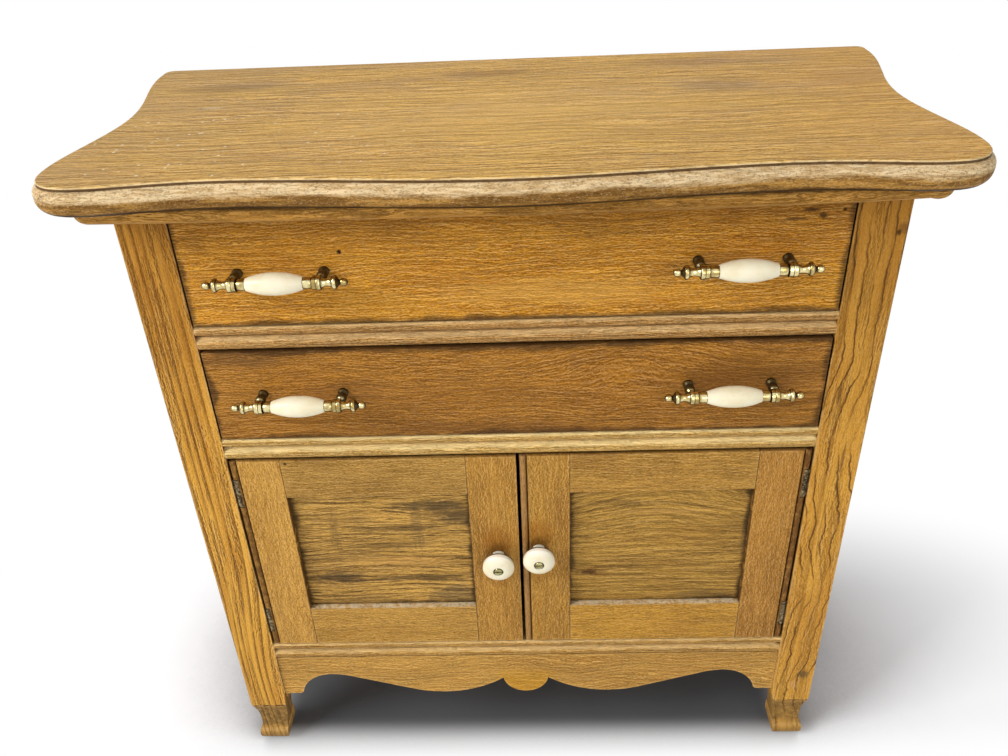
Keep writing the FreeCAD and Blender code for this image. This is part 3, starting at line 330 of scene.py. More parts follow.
def age_and_painted_shade(graph, colour, grain, kind, rub, pale, soot_and_shade, marks, border):
    """Dirt, crests rubbed pale with a painted highlight, worn arrises, the board's own marks, grime
    along borders (painted shade of the frame on the panels), and grime with painted shade in corners.
    """
    dirt = graph.fibres(grain, 0.06, 0.03, 4.0, 0.65)
    colour = graph.paint(colour, soot_and_shade, graph.ramp(dirt, 0.56, 0.78), kind["patches"])
    # crests: wear, and a painted highlight on faces that look up
    if kind["crests"]:
        crest = graph.add(graph.normal()[2], graph.centred(rub, 0.9))
        colour = graph.paint(colour, pale, graph.ramp(crest, 0.12, 0.62), kind["crests"])
    arris = graph.ramp(graph.nearness(0.0035, inside=True), 0.1, 0.5)
    colour = graph.paint(colour, pale, arris, graph.ramp(rub, 0.36, 0.6), kind["wear"])
    if marks:
        colour = marks(graph, colour)
    # the wood darkens along its borders: grime, and on the panels painted shade of the frame
    if border:
        near = graph.ramp(graph.add(border(graph), graph.centred(dirt, 0.02)), 0.0065, 0.0)
        colour = graph.paint(colour, soot_and_shade, near, kind["grime"])
    # painted shade, with grime, in corners where other surfaces are near
    return graph.paint(colour, soot_and_shade, graph.ramp(graph.nearness(0.006), 0.3, 0.8), kind["grime"])


def wood(name, along, seed, light, dark, line, pale, *, soot_and_shade=SOOT_AND_SHADE, swap=None, bend=None, marks=None,
         border=None, **changes):
    """Oak. along is the grain's axis, or flat for a board that lies with its grain along X; swap masks
    the part whose grain runs along Y instead; bend pushes the grain sideways; marks paints over the
    wood; border is the distance from edges that darken, with grime on the drawer fronts and with
    painted shade of the frame on the panels; changes are values of OAK."""
    kind = {**OAK, **changes}
    graph = material_graph(name)
    grain = lie_of_grain(graph, kind, along, seed, swap, bend)

    # tone: streaks along the grain over broad stains
    streaks = graph.fibres(grain, *kind["streak"], 3.0, 0.62)
    stain = graph.fibres(grain, 0.16, 0.05, 3.0, 0.6)
    tone = graph.choose(kind["streaks"], stain, streaks)
    colour = graph.mix(graph.ramp(tone, 0.36, 0.62), linear(*dark), linear(*light))

    # grain
    late, rings = growth_rings(graph, grain, kind["pitch"])
    cords, pores, glints = open_grain(graph, grain, kind, late)
    colour = graph.paint(colour, line, late, kind["rings"] * 0.28)
    colour = graph.paint(colour, pale, glints, kind["glints"])
    colour = graph.paint(colour, line, cords, kind["cords"])
    colour = graph.paint(colour, line, pores, kind["pores"])
    colour = graph.paint(colour, line, rings, kind["rings"])
    u, v, w = grain
    specks = graph.vector(graph.times(u, 0.4), v, w)
    colour = graph.grit(colour, specks, 1000.0, kind["grit"], line, pale)

    rub = graph.fibres(grain, 0.02, 0.006, 3.0, 0.6)
    colour = age_and_painted_shade(graph, colour, grain, kind, rub, pale, soot_and_shade, marks, border)
    hollow = graph.largest(rings, graph.times(pores, 0.8), graph.times(cords, 0.6))
    height = graph.less(graph.times(graph.add(streaks, rub), 0.5), hollow)
    roughness = graph.add(graph.ramp(stain, 0.3, 0.7, *kind["rough"]),
                          graph.times(graph.largest(rings, pores), 0.2))
    return graph.finish(colour, roughness, height, GRAIN_DEPTH, Specular_IOR_Level=WOOD_SHINE)


# top board: wavering fine grain round an eye, and a moulded edge

TOP_LOW, TOP_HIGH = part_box("top_board")
TOP_EYE = (0.160, -0.075, TOP_HIGH.z)
TOP_STAINS = (                          # place and radii in X and Y, tone, share
    ((-0.285, 0.105), (0.085, 0.030), (142, 110, 66), 0.45),
    ((-0.020, 0.128), (0.075, 0.017), (140, 98, 50), 0.5),
    ((0.190, 0.150), (0.10, 0.020), (150, 104, 60), 0.4),
    ((0.330, 0.060), (0.06, 0.05), (196, 144, 74), 0.5),
    ((0.205, 0.050), (0.07, 0.035), (150, 116, 72), 0.4),
    ((-0.165, 0.169), (0.055, 0.0022), (84, 62, 38), 0.8),
    ((-0.2953, 0.0284), (0.0035, 0.0022), (62, 42, 22), 1.0),
    ((-0.285, 0.030), (0.022, 0.005), (226, 206, 168), 0.5),
)
EDGE_HOLES = ((-0.1608, -0.190, 0.7385), (0.0298, -0.190, 0.7402), (-0.262, -0.186, 0.7370))
# depths under the top's upper face: where each mark starts and is full, then fades and is gone
ARRIS = (0.0002, 0.0006)
EDGE = (0.0012, 0.0017)
QUIRK = (0.0014, 0.0019, 0.0034, 0.0042)


def below_top(depths):
    return [TOP_HIGH.z - depth for depth in depths]


def top_bend(graph):
    return graph.times(graph.hill(TOP_EYE, (0.13, 0.045, 1.0)), 0.016)


def top_field(graph, colour, weather):
    """Weathered greyer at the left end, paler in the middle, yellower at the right, and stained."""
    x = graph.split()[0]
    left = graph.ramp(graph.add(x, graph.centred(weather, 0.5)), -0.10, -0.33)
    colour = graph.paint(colour, (164, 132, 84), left, 0.34)
    pale_middle = graph.hill((0.03, -0.02, TOP_HIGH.z), (0.30, 0.15, 1.0), 0.8)
    colour = graph.paint(colour, (238, 190, 106), pale_middle, 0.45)
    right = graph.ramp(graph.add(x, graph.centred(weather, 0.4)), 0.12, 0.36)
    colour = graph.paint(colour, (220, 164, 84), right, 0.4)
    for place, radii, tone, share in TOP_STAINS:
        colour = graph.spot(colour, tone, share, (*place, TOP_HIGH.z), (*radii, 0.02))
    return colour


def paint_specks(graph, colour):
    """Specks of pale paint on the top, thickest near its left front corner."""
    x, y, _ = graph.split()
    cell = graph.new("ShaderNodeTexVoronoi", feature="F1")
    graph.feed(cell.inputs["Vector"], graph.vector(x, y, 0.0))
    graph.feed(cell.inputs["Scale"], 115.0)
    rare = graph.ramp(graph.parts(cell.outputs["Color"])[0], 0.70, 0.71)
    where = graph.hill((-0.24, -0.10, TOP_HIGH.z), (0.20, 0.15, 1.0), 1.2)
    return graph.paint(colour, (240, 226, 196), graph.ramp(cell.outputs["Distance"], 0.20, 0.11),
                       rare, graph.ramp(where, 0.05, 0.3), 0.9)


def top_edge(graph, weather):
    """The round edge, streaked along its length: pale above with wear and a painted highlight, brown
    below with painted shade, and dark at its foot and in the quirk with painted shadow and dirt.
    """
    x, y, z = graph.split()
    along = graph.vector(graph.times(x, 0.12), graph.times(y, 0.12), z)
    streaks = graph.noise(along, 150.0, 4.0, 0.62)
    fine = graph.noise(along, 520.0, 2.0, 0.6)
    # upper half pale with wear and a painted highlight; lower half browner with painted shade
    above = graph.mix(graph.ramp(graph.add(fine, graph.centred(streaks, 0.6)), 0.38, 0.60),
                      linear(204, 170, 120), linear(230, 202, 156))
    below = graph.mix(graph.ramp(streaks, 0.40, 0.60), linear(128, 88, 34), linear(184, 136, 64))
    below = graph.paint(below, (96, 62, 24), graph.ramp(fine, 0.46, 0.34), 0.5)
    rise = graph.add(graph.less(z, TOP_LOW.z), graph.centred(streaks, 0.012))
    rise = graph.add(rise, graph.centred(weather, 0.008))
    edge = graph.mix(graph.ramp(rise, 0.0105, 0.0165), below, above)
    specks = graph.vector(graph.times(x, 0.5), graph.times(y, 0.5), z)
    edge = graph.grit(edge, specks, 900.0, 0.5, (96, 66, 32), (218, 190, 146))
    # painted shadow and dirt along the foot of the edge
    foot = graph.ramp(z, TOP_LOW.z + 0.0050, TOP_LOW.z + 0.0028)
    edge = graph.paint(edge, (44, 28, 12), foot, 0.9)
    for place in EDGE_HOLES:
        edge = graph.spot(edge, (44, 28, 14), 0.95, place, (0.0040, 0.006, 0.0016))
    # painted shade and dirt in the quirk under the field
    return graph.paint(edge, (78, 50, 20), graph.window(z, *below_top(QUIRK)), 0.9)


def top_marks(graph, colour):
    x, y, z = graph.split()
    weather = graph.noise(graph.vector(graph.times(x, 9), graph.times(y, 26), 0.0), 1.0, 3.0, 0.6)
    colour = paint_specks(graph, top_field(graph, colour, weather))
    # painted highlight along the arris round the field
    arris = graph.ramp(z, *below_top(ARRIS))
    rub = graph.noise(graph.vector(graph.times(x, 45), graph.times(y, 45), 0.0), 1.0, 3.0, 0.6)
    colour = graph.paint(colour, (232, 204, 150), arris, graph.ramp(rub, 0.25, 0.55, 0.25, 0.85))
    return graph.mix(graph.ramp(z, *below_top(EDGE)), colour, top_edge(graph, weather))


dress(wood("oak_top", "flat", 3.1, (240, 188, 94), (206, 153, 64), (124, 78, 20), (250, 216, 150),
           waver=(0.030, 0.0022), wave=0.10, streak=(0.06, 0.0050), streaks=0.55, pitch=0.0125,
           rings=0.2, cord=(0.040, 0.0034), cords=0.75, pore=(0.010, 0.0022), pores=0.5, gather=0.04,
           glints=0.55, grit=0.45, patches=0.06, wear=0.2, grime=0.6, rough=(0.38, 0.52),
           bend=top_bend, marks=top_marks), "top_board")

# frame under the top: mitred strips, rubbed pale along their lower edge

CORNER_SETBACK = 0.008                  # how far its front corners lie behind its middle


def turned_corner(graph):
    """1 on the side strips of the frame under the top, beyond the mitres."""
    x, y, _ = graph.split()
    low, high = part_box("top_moulding")
    leg_low, leg_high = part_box("front_leg_right")
    strip_front = low.y + CORNER_SETBACK
    slope = (leg_high.y - strip_front) / (high.x - leg_low.x)
    inward = graph.less(graph.math("ABSOLUTE", x), high.x)
    past = graph.add(graph.times(inward, slope), graph.less(y, strip_front))
    return graph.ramp(past, -0.0002, 0.0002)


def under_top(graph, colour):
    """A pale line along the lower edge, and painted shadow under the top board."""
    z = graph.split()[2]
    low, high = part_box("top_moulding")
    ragged = graph.noise(graph.coordinates, 90.0, 2.0, 0.6)
    foot = graph.window(z, *(low.z + rise for rise in (0.0048, 0.0030, 0.0010, 0.0002)))
    colour = graph.paint(colour, (188, 146, 88), foot, graph.ramp(ragged, 0.3, 0.6, 0.2, 0.6))
    # painted shadow on the upper part, under the top board's overhang
    return graph.paint(colour, SOOT_AND_SHADE, graph.ramp(z, high.z - 0.0065, high.z - 0.0025, 0.0, 0.9))


dress(wood("oak_sub_top", "flat", 5.3, (206, 148, 64), (172, 120, 44), (96, 58, 16), (224, 180, 112),
           streak=(0.12, 0.003), cord=(0.08, 0.002), cords=0.4, rings=0.3, pores=0.5, glints=0.3,
           patches=0.2, wear=0.3, grime=0.85, swap=turned_corner, marks=under_top), "top_moulding")

# legs: bold dark grain down their length, darker towards the top with painted shadow of the top and old
# varnish; feet greyer, with painted shade at the ankle and crease and a painted highlight along their
# ledge

LEG = dict(waver=(0.014, 0.0010), wave=0.30, streak=(0.16, 0.0060), streaks=0.62, pitch=0.0066,
           rings=0.6, cord=(0.08, 0.0026), cords=0.4, pore=(0.006, 0.0015), pores=0.85, gather=0.10,
           bands=0.85, glints=0.3, grit=0.35, patches=0.14, wear=0.5, grime=0.8)
LEG_CHANGES = {
    "left": dict(pitch=0.0085),
    "right": dict(pitch=0.0150, waver=(0.050, 0.002), wave=0.17, pores=0.45, rings=0.2, cords=0.2,
                  streaks=0.35),
}
LEG_SEEDS = {"left": 11.2, "right": 23.7}
LEG_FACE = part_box("front_leg_right")[0].y
RIGHT_RING_PITCH = 0.0105
RIGHT_LEG_SPOTS = (                     # place and radii in X and Z, tone, share
    ((0.330, 0.672), (0.0070, 0.0085), (112, 72, 30), 0.6),
    ((0.327, 0.668), (0.0035, 0.0045), (70, 42, 18), 0.9),
    ((0.303, 0.507), (0.0035, 0.020), (98, 62, 26), 0.7),
    ((0.318, 0.430), (0.0030, 0.030), (104, 64, 26), 0.6),
    ((0.322, 0.118), (0.011, 0.010), (96, 76, 46), 0.75),
    ((0.313, 0.100), (0.006, 0.012), (214, 166, 104), 0.5),
)
LEG_SHADE = (0.40, 0.74)                # heights between which the legs darken: painted shadow of the top, and old varnish
# heights on the feet: where each mark starts and is full, then fades and is gone
FOOT = (0.0745, 0.0735)
SOLE = (0.022, 0.014)
ANKLE = (0.074, 0.060, 0.032, 0.022)
CREASE = (0.0742, 0.0728, 0.0714, 0.0696)
LEDGE = (0.0190, 0.0210, 0.0225, 0.0245)


def ring_lines(graph, pitch):
    """Thin dark growth lines that wander down a leg, strong in places and faint in others."""
    x, _, z = graph.split()

    def wandering(across, scale_across, scale_down, detail, roughness):
        place = graph.vector(graph.times(across, scale_across), 0.0, graph.times(z, scale_down))
        return graph.noise(place, 1.0, detail, roughness)

    wander = graph.centred(wandering(x, 7.0, 6.0, 2.0, 0.5), 0.060)
    ripple = graph.centred(wandering(x, 40.0, 48.0, 3.0, 0.6), 0.008)
    across = graph.add(x, graph.add(wander, ripple))
    ring = graph.math("FRACT", graph.math("DIVIDE", across, pitch))
    strength = graph.ramp(wandering(across, 90.0, 14.0, 3.0, 0.6), 0.40, 0.56, 0.25, 1.0)
    return graph.times(graph.window(ring, 0.74, 0.92, 0.96, 1.0), strength)


def leg_marks(side):
    def marks(graph, colour):
        z = graph.split()[2]
        ragged = graph.noise(graph.coordinates, 160.0, 3.0, 0.6)
        cloud = graph.noise(graph.coordinates, 14.0, 3.0, 0.6)
        # painted shadow of the top, with old varnish, darkens the upper leg
        shade = graph.ramp(graph.add(z, graph.centred(cloud, 0.3)), *LEG_SHADE)
        colour = graph.paint(colour, (130, 76, 12), shade, 0.6)
        colour = graph.paint(colour, (164, 130, 78), graph.ramp(z, *FOOT, 0.0, 0.5))
        # painted shade on the cut-in ankle, which faces down
        colour = graph.paint(colour, (104, 80, 44), graph.window(z, *ANKLE),
                             graph.ramp(ragged, 0.3, 0.6, 0.3, 0.8))
        # painted shade in the crease above the foot
        colour = graph.paint(colour, (84, 56, 26), graph.window(z, *CREASE),
                             graph.ramp(ragged, 0.42, 0.55))
        colour = graph.paint(colour, (140, 108, 62), graph.ramp(z, *SOLE), 0.6)
        # painted highlight along the ledge of the toe
        colour = graph.paint(colour, (196, 156, 96), graph.window(z, *LEDGE),
                             graph.ramp(ragged, 0.3, 0.55, 0.2, 0.7))
        if side == "right":
            colour = graph.paint(colour, (190, 138, 60), 0.15)
            colour = graph.paint(colour, (88, 54, 22), ring_lines(graph, RIGHT_RING_PITCH), 0.9)
            colour = graph.spots(colour, LEG_FACE, RIGHT_LEG_SPOTS)
        return colour
    return marks


def leg_bend(graph):
    """Cathedral grain above the left foot."""
    low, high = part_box("front_leg_left")
    return graph.times(graph.hill((high.x, low.y, 0.11), (0.075, 1.0, 0.22)), 0.018)


for side, seed in LEG_SEEDS.items():
    dress(wood(f"oak_front_leg_{side}", "z", seed, (222, 164, 62), (194, 134, 42), (98, 54, 6),
               (238, 200, 136), bend=leg_bend if side == "left" else None, marks=leg_marks(side),
               **{**LEG, **LEG_CHANGES[side]}), f"front_leg_{side}")
    dress(wood(f"oak_back_leg_{side}", "z", seed + 3.3, (184, 136, 62), (154, 108, 42), (94, 60, 22),
               (206, 166, 100), **LEG), f"back_leg_{side}")

# reeded rails, rubbed pale along their crests, with a painted highlight on faces that look up

RAIL = dict(waver=(0.008, 0.001), streak=(0.06, 0.0018), rings=0.2, pitch=0.007, cord=(0.03, 0.0018),
            cords=0.5, pore=(0.008, 0.0012), pores=0.6, glints=0.5, grit=0.6, patches=0.08, wear=0.6,
            grime=0.75)
dress(wood("oak_drawer_rail", "x", 31.4, (212, 158, 84), (178, 126, 60), (96, 62, 28),
           (238, 200, 140), soot_and_shade=(98, 66, 32), crests=0.6, **RAIL), "drawer_rail")
dress(wood("oak_cupboard_rail", "x", 37.9, (232, 184, 98), (200, 152, 72), (112, 72, 22),
           (248, 218, 152), soot_and_shade=(130, 92, 44), crests=0.85, **{**RAIL, "grime": 0.5}),
      "cupboard_rail")
dress(wood("oak_base_rail", "x", 41.7, (212, 160, 76), (180, 128, 52), (100, 64, 24),
           (236, 198, 134), soot_and_shade=(76, 50, 22), crests=0.7, **RAIL), "base_rail")


def apron_marks(graph, colour):
    """Golden varnish kept on the middle lobe."""
    x, _, z = graph.split()
    beside = graph.ramp(graph.math("ABSOLUTE", x), 0.040, 0.024)
    return graph.paint(colour, (204, 146, 22), beside, graph.ramp(z, 0.140, 0.112), 0.5)


dress(wood("oak_apron", "x", 47.2, (216, 164, 78), (184, 132, 54), (116, 74, 28), (238, 196, 124),
           waver=(0.030, 0.004), wave=0.05, streak=(0.03, 0.0022), pitch=0.0065, rings=0.15,
           cord=(0.02, 0.0024), cords=0.4, pore=(0.005, 0.0014), pores=0.45, glints=0.45, grit=0.5,
           patches=0.08, wear=0.5, grime=0.6, marks=apron_marks), "apron")

# sides: frame rails and quiet flat panels

SIDE = dict(streak=(0.14, 0.005), pitch=0.010, rings=0.6, pores=0.5, glints=0.2, patches=0.2,
            wear=0.4, grime=0.85)
for side, seed in (("left", 53.1), ("right", 59.8)):
    dress(wood(f"oak_{side}_side_rails", "y", seed, (188, 138, 62), (156, 108, 42), (100, 62, 24),
               (212, 172, 106), **SIDE), f"{side}_side_rails")
    dress(wood(f"oak_{side}_side_panel", "z", seed + 1.9, (180, 132, 58), (146, 102, 40),
               (92, 58, 22), (206, 166, 100), waver=(0.060, 0.004), wave=0.16, **SIDE),
          f"{side}_side_panel")

# drawer fronts: fine wavering grain with short glints

FRONT = dict(waver=(0.018, 0.0012), wave=0.06, streak=(0.03, 0.0034), streaks=0.5, pitch=0.0075,
             rings=0.12, cord=(0.022, 0.0019), cords=0.45, pore=(0.006, 0.0014), pores=0.5,
             gather=0.03, glints=0.45, grit=0.45, patches=0.05, wear=0.3, grime=0.75,
             rough=(0.40, 0.54))
DRAWER_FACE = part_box("upper_drawer_front")[0].y
UPPER_SPOTS = (                         # place and radii in X and Z, tone, share
    ((-0.146, 0.665), (0.0034, 0.0034), (44, 24, 10), 1.0),
    ((0.252, 0.6905), (0.012, 0.0030), (70, 42, 16), 0.85),
    ((0.262, 0.6850), (0.006, 0.0050), (64, 38, 14), 0.85),
    ((0.240, 0.6830), (0.016, 0.0022), (86, 54, 22), 0.8),
    ((0.279, 0.6900), (0.003, 0.0026), (50, 30, 12), 0.9),
    ((-0.270, 0.676), (0.020, 0.022), (124, 82, 32), 0.4),
    ((0.040, 0.622), (0.15, 0.022), (232, 176, 84), 0.4),
    ((0.180, 0.640), (0.09, 0.020), (146, 104, 52), 0.4),
)
LOWER_SPOTS = (
    ((0.215, 0.520), (0.12, 0.050), (116, 74, 30), 0.5),
    ((-0.250, 0.560), (0.060, 0.014), (104, 74, 42), 0.55),
    ((-0.040, 0.478), (0.20, 0.012), (118, 78, 38), 0.5),
    ((-0.160, 0.520), (0.07, 0.020), (136, 90, 44), 0.45),
)
TOP_SHADOW_DEPTH = 0.040                     # how far down from its top the upper front is darkened by painted shadow under the top


def upper_front_marks(graph, colour):
    """Painted shadow along its top, under the top, with a hole, scars and stains."""
    z = graph.split()[2]
    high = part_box("upper_drawer_front")[1]
    cloud = graph.noise(graph.coordinates, 11.0, 3.0, 0.6)
    # painted shadow under the top, along the front's upper edge
    shadow_under_top = graph.ramp(graph.add(z, graph.centred(cloud, 0.05)), high.z - TOP_SHADOW_DEPTH, high.z)
    return graph.spots(graph.paint(colour, (112, 72, 32), shadow_under_top, 0.5), DRAWER_FACE, UPPER_SPOTS)


def lower_front_marks(graph, colour):
    return graph.spots(colour, DRAWER_FACE, LOWER_SPOTS)


def lower_bend(graph):
    """Cathedral grain round a knot that is cut away above the front."""
    return graph.times(graph.hill((0.115, DRAWER_FACE, 0.560), (0.13, 1.0, 0.05)), -0.018)


dress(wood("oak_upper_drawer", "x", 61.4, (226, 158, 44), (196, 126, 22), (116, 64, 2),
           (240, 196, 126), marks=upper_front_marks, border=sides("upper_drawer_front", "xz"),
           **FRONT), "upper_drawer_front")
dress(wood("oak_lower_drawer", "x", 67.9, (188, 127, 42), (152, 97, 24), (88, 48, 4),
           (212, 164, 106), bend=lower_bend, marks=lower_front_marks,
           border=sides("lower_drawer_front", "xz"), **FRONT), "lower_drawer_front")

# doors: speckled stiles and rails round panels with heavy, stained grain

STILE = dict(waver=(0.014, 0.0015), wave=0.06, streak=(0.02, 0.004), streaks=0.35, pitch=0.008,
             rings=0.0, cord=(0.010, 0.0030), cords=0.25, pore=(0.0035, 0.0015), pores=0.3,
             gather=0.0, glints=0.4, grit=0.6, patches=0.06, wear=0.35, grime=0.8)
DOOR_RAIL = {**STILE, "cord": (0.025, 0.0024), "pore": (0.007, 0.0014)}
PANEL = dict(waver=(0.016, 0.0018), wave=0.07, streak=(0.09, 0.0060), streaks=0.6, pitch=0.0068,
             rings=0.3, cord=(0.055, 0.0042), cords=0.9, sharp=0.07, pore=(0.010, 0.0016), pores=0.6,
             gather=0.05, glints=0.7, grit=0.4, patches=0.25, wear=0.1, grime=0.8)
PANEL_CHANGES = {
    "left": {},
    "right": dict(cord=(0.06, 0.0060), cords=0.52, pores=0.40, glints=0.45, wave=0.12),
}
DOOR_SEEDS = {"left": 71.6, "right": 83.3}
DOOR_TONES = {                          # light and dark tone of each piece
    ("left", "hinge_stile"): ((218, 164, 76), (188, 136, 54)),
    ("left", "meeting_stile"): ((200, 146, 60), (168, 118, 44)),
    ("left", "top_rail"): ((196, 150, 72), (162, 120, 50)),
    ("left", "bottom_rail"): ((206, 156, 70), (178, 130, 50)),
    ("left", "panel"): ((216, 166, 80), (156, 116, 54)),
    ("right", "hinge_stile"): ((194, 138, 60), (160, 108, 40)),
    ("right", "meeting_stile"): ((200, 148, 60), (166, 116, 42)),
    ("right", "top_rail"): ((202, 152, 66), (162, 116, 46)),
    ("right", "bottom_rail"): ((214, 158, 58), (184, 132, 42)),
    ("right", "panel"): ((196, 150, 68), (154, 114, 48)),
}
DOOR_LINE, DOOR_PALE = (112, 72, 30), (222, 178, 112)
STAINS = {                              # place and radii in X and Z, tone, share
    "left": (
        ((-0.092, 0.376), (0.060, 0.0085), (74, 60, 40), 0.8),
        ((-0.060, 0.358), (0.032, 0.012), (82, 68, 46), 0.7),
        ((-0.125, 0.345), (0.080, 0.0050), (84, 64, 38), 0.7),
        ((-0.145, 0.322), (0.060, 0.0045), (92, 70, 40), 0.6),
        ((-0.190, 0.358), (0.045, 0.010), (120, 90, 48), 0.5),
        ((-0.200, 0.276), (0.050, 0.0095), (62, 50, 36), 0.85),
        ((-0.105, 0.274), (0.075, 0.0060), (66, 52, 36), 0.85),
        ((-0.070, 0.245), (0.050, 0.020), (96, 82, 60), 0.65),
        ((-0.170, 0.238), (0.080, 0.010), (118, 94, 58), 0.5),
        ((-0.130, 0.299), (0.095, 0.0085), (212, 160, 84), 0.6),
        ((-0.072, 0.366), (0.042, 0.020), (88, 70, 46), 0.55),
        ((-0.108, 0.350), (0.010, 0.040), (92, 76, 52), 0.45),
        ((-0.196, 0.340), (0.008, 0.034), (98, 78, 50), 0.4),
    ),
    "right": (
        ((0.0735, 0.2786), (0.013, 0.0045), (58, 32, 20), 0.95),
        ((0.078, 0.279), (0.030, 0.0075), (104, 66, 34), 0.55),
        ((0.240, 0.335), (0.012, 0.060), (104, 86, 60), 0.7),
        ((0.200, 0.240), (0.060, 0.012), (112, 90, 56), 0.5),
        ((0.100, 0.375), (0.045, 0.006), (92, 66, 34), 0.6),
        ((0.150, 0.362), (0.085, 0.004), (206, 158, 86), 0.5),
        ((0.180, 0.330), (0.060, 0.020), (160, 116, 52), 0.4),
    ),
}
PANEL_FACE = -0.12                      # Y of the stains, just under the panels' faces
STAIN_SHARE, STAIN_HEIGHT, STAIN_RAGGED = 0.85, 1.35, 1.6  # the first two times those of STAINS
KNOB_HALOS = (                          # height over the knob, radius, tone, share
    (0.022, 0.034, (150, 86, 16), 0.5),
    (0.006, 0.022, (84, 48, 12), 0.55),
    (-0.030, 0.024, (140, 88, 28), 0.35),
)
RAIL_HOLE = (-0.2312, 0.4386)           # X and Z of the hole in the left door's top rail


def panel_marks(side):
    stains = [(place, (wide, high * STAIN_HEIGHT), tone, share * STAIN_SHARE)
              for place, (wide, high), tone, share in STAINS[side]]
    return lambda graph, colour: graph.spots(colour, PANEL_FACE, stains, STAIN_RAGGED)


def panel_border(node):
    """Distance from the frame round a panel, whose edge lies hidden in the grooves. The panel darkens
    within it: painted shade of the frame.
    """
    groove = 0.007
    return lambda graph: graph.less(sides(node, "xz")(graph), groove)


def panel_bend(graph):
    """The right panel's upper grain arches over its middle."""
    low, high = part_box("right_door_panel")
    middle = (low + high) / 2
    arch = graph.hill((middle.x, middle.y, high.z - 0.01), (0.13, 1.0, 0.09))
    return graph.times(arch, -0.022)


def stile_marks(side, piece):
    """A dark joint line, the bead along the free edge, and dark varnish round the knob."""
    knob_low, knob_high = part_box(f"{side}_door_knob")
    knob = (knob_low + knob_high) / 2
    low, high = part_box(f"{side}_door_{piece}")
    on_left = (side == "left") == (piece == "hinge_stile")
    joint, edge = (high.x, low.x) if on_left else (low.x, high.x)

    def near(graph, place, out, full):
        return graph.ramp(graph.math("ABSOLUTE", graph.less(graph.split()[0], place)), out, full)

    def marks(graph, colour):
        ragged = graph.noise(graph.coordinates, 120.0, 2.0, 0.6)
        colour = graph.paint(colour, (84, 56, 26), near(graph, joint, 0.0013, 0.0004),
                             graph.ramp(ragged, 0.3, 0.5, 0.45, 0.9))
        bead = near(graph, edge, 0.0074, 0.0062)
        if piece == "hinge_stile":      # dirt between the bead and the leg
            colour = graph.paint(colour, (96, 60, 28), bead,
                                 graph.ramp(ragged, 0.3, 0.6, 0.4, 0.8))
        elif side == "right":
            colour = graph.paint(colour, (156, 118, 82), bead, 0.5)
        if piece == "meeting_stile":    # varnish darkened by hands round the knob
            for lift, radius, tone, share in KNOB_HALOS:
                colour = graph.spot(colour, tone, share, (knob.x, low.y, knob.z + lift),
                                    (radius * 0.8, 0.04, radius), 0.4)
        return colour
    return marks


def rail_marks(side, piece):
    """A small hole in the left top rail; dust on the ledges of the bottom rails."""
    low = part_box(f"{side}_door_{piece}")[0]

    def hole(graph, colour):
        x, z = RAIL_HOLE
        return graph.spot(colour, (36, 24, 12), 1.0, (x, low.y, z), (0.0026, 0.02, 0.0022), 0.5)

    def dust(graph, colour):
        cloud = graph.noise(graph.coordinates, 260.0, 3.0, 0.65)
        return graph.paint(colour, (222, 202, 166), graph.ramp(graph.normal()[2], 0.5, 0.9),
                           graph.ramp(cloud, 0.38, 0.54, 0.25, 0.95))

    if piece == "bottom_rail":
        return dust
    return hole if side == "left" else None


for (side, piece), (light, dark) in DOOR_TONES.items():
    node = f"{side}_door_{piece}"
    seed = DOOR_SEEDS[side] + len(piece)
    if piece == "panel":
        dress(wood(f"oak_{node}", "x", seed, light, dark, (84, 60, 30), (220, 176, 104),
                   soot_and_shade=(66, 50, 32), bend=panel_bend if side == "right" else None,
                   marks=panel_marks(side), border=panel_border(node),
                   **{**PANEL, **PANEL_CHANGES[side]}), node)
    elif "stile" in piece:
        dress(wood(f"oak_{node}", "z", seed, light, dark, DOOR_LINE, DOOR_PALE,
                   marks=stile_marks(side, piece), **STILE), node)
    else:
        dress(wood(f"oak_{node}", "x", seed, light, dark, DOOR_LINE, DOOR_PALE,
                   marks=rail_marks(side, piece), **DOOR_RAIL), node)

# inside of the case and the drawers

INNER = dict(streak=(0.2, 0.006), pitch=0.014, rings=0.5, pores=0.4, glints=0.15, patches=0.3,
             wear=0.25, grime=0.6, rough=(0.62, 0.74))
INNER_BOARDS = {                        # names by the run of their grain
    "z": ("back_boards",),
    "x": ("back_rails", "upper_drawer_back", "lower_drawer_back", "door_stops"),
    "flat": ("cupboard_floor", "upper_drawer_bottom", "lower_drawer_bottom"),
    "y": ("drawer_runners", "upper_drawer_left_side", "upper_drawer_right_side",
          "lower_drawer_left_side", "lower_drawer_right_side"),
}
for along, names in INNER_BOARDS.items():
    for index, name in enumerate(names):
        seed = 90 + index * 2.3 + len(along)
        dress(wood(f"inner_{name}", along, seed, (198, 162, 110), (164, 128, 80), (116, 82, 44),
                   (214, 184, 138), soot_and_shade=(84, 64, 42), **INNER), name)

# ---------------------------------------------------------------- metal and ceramic


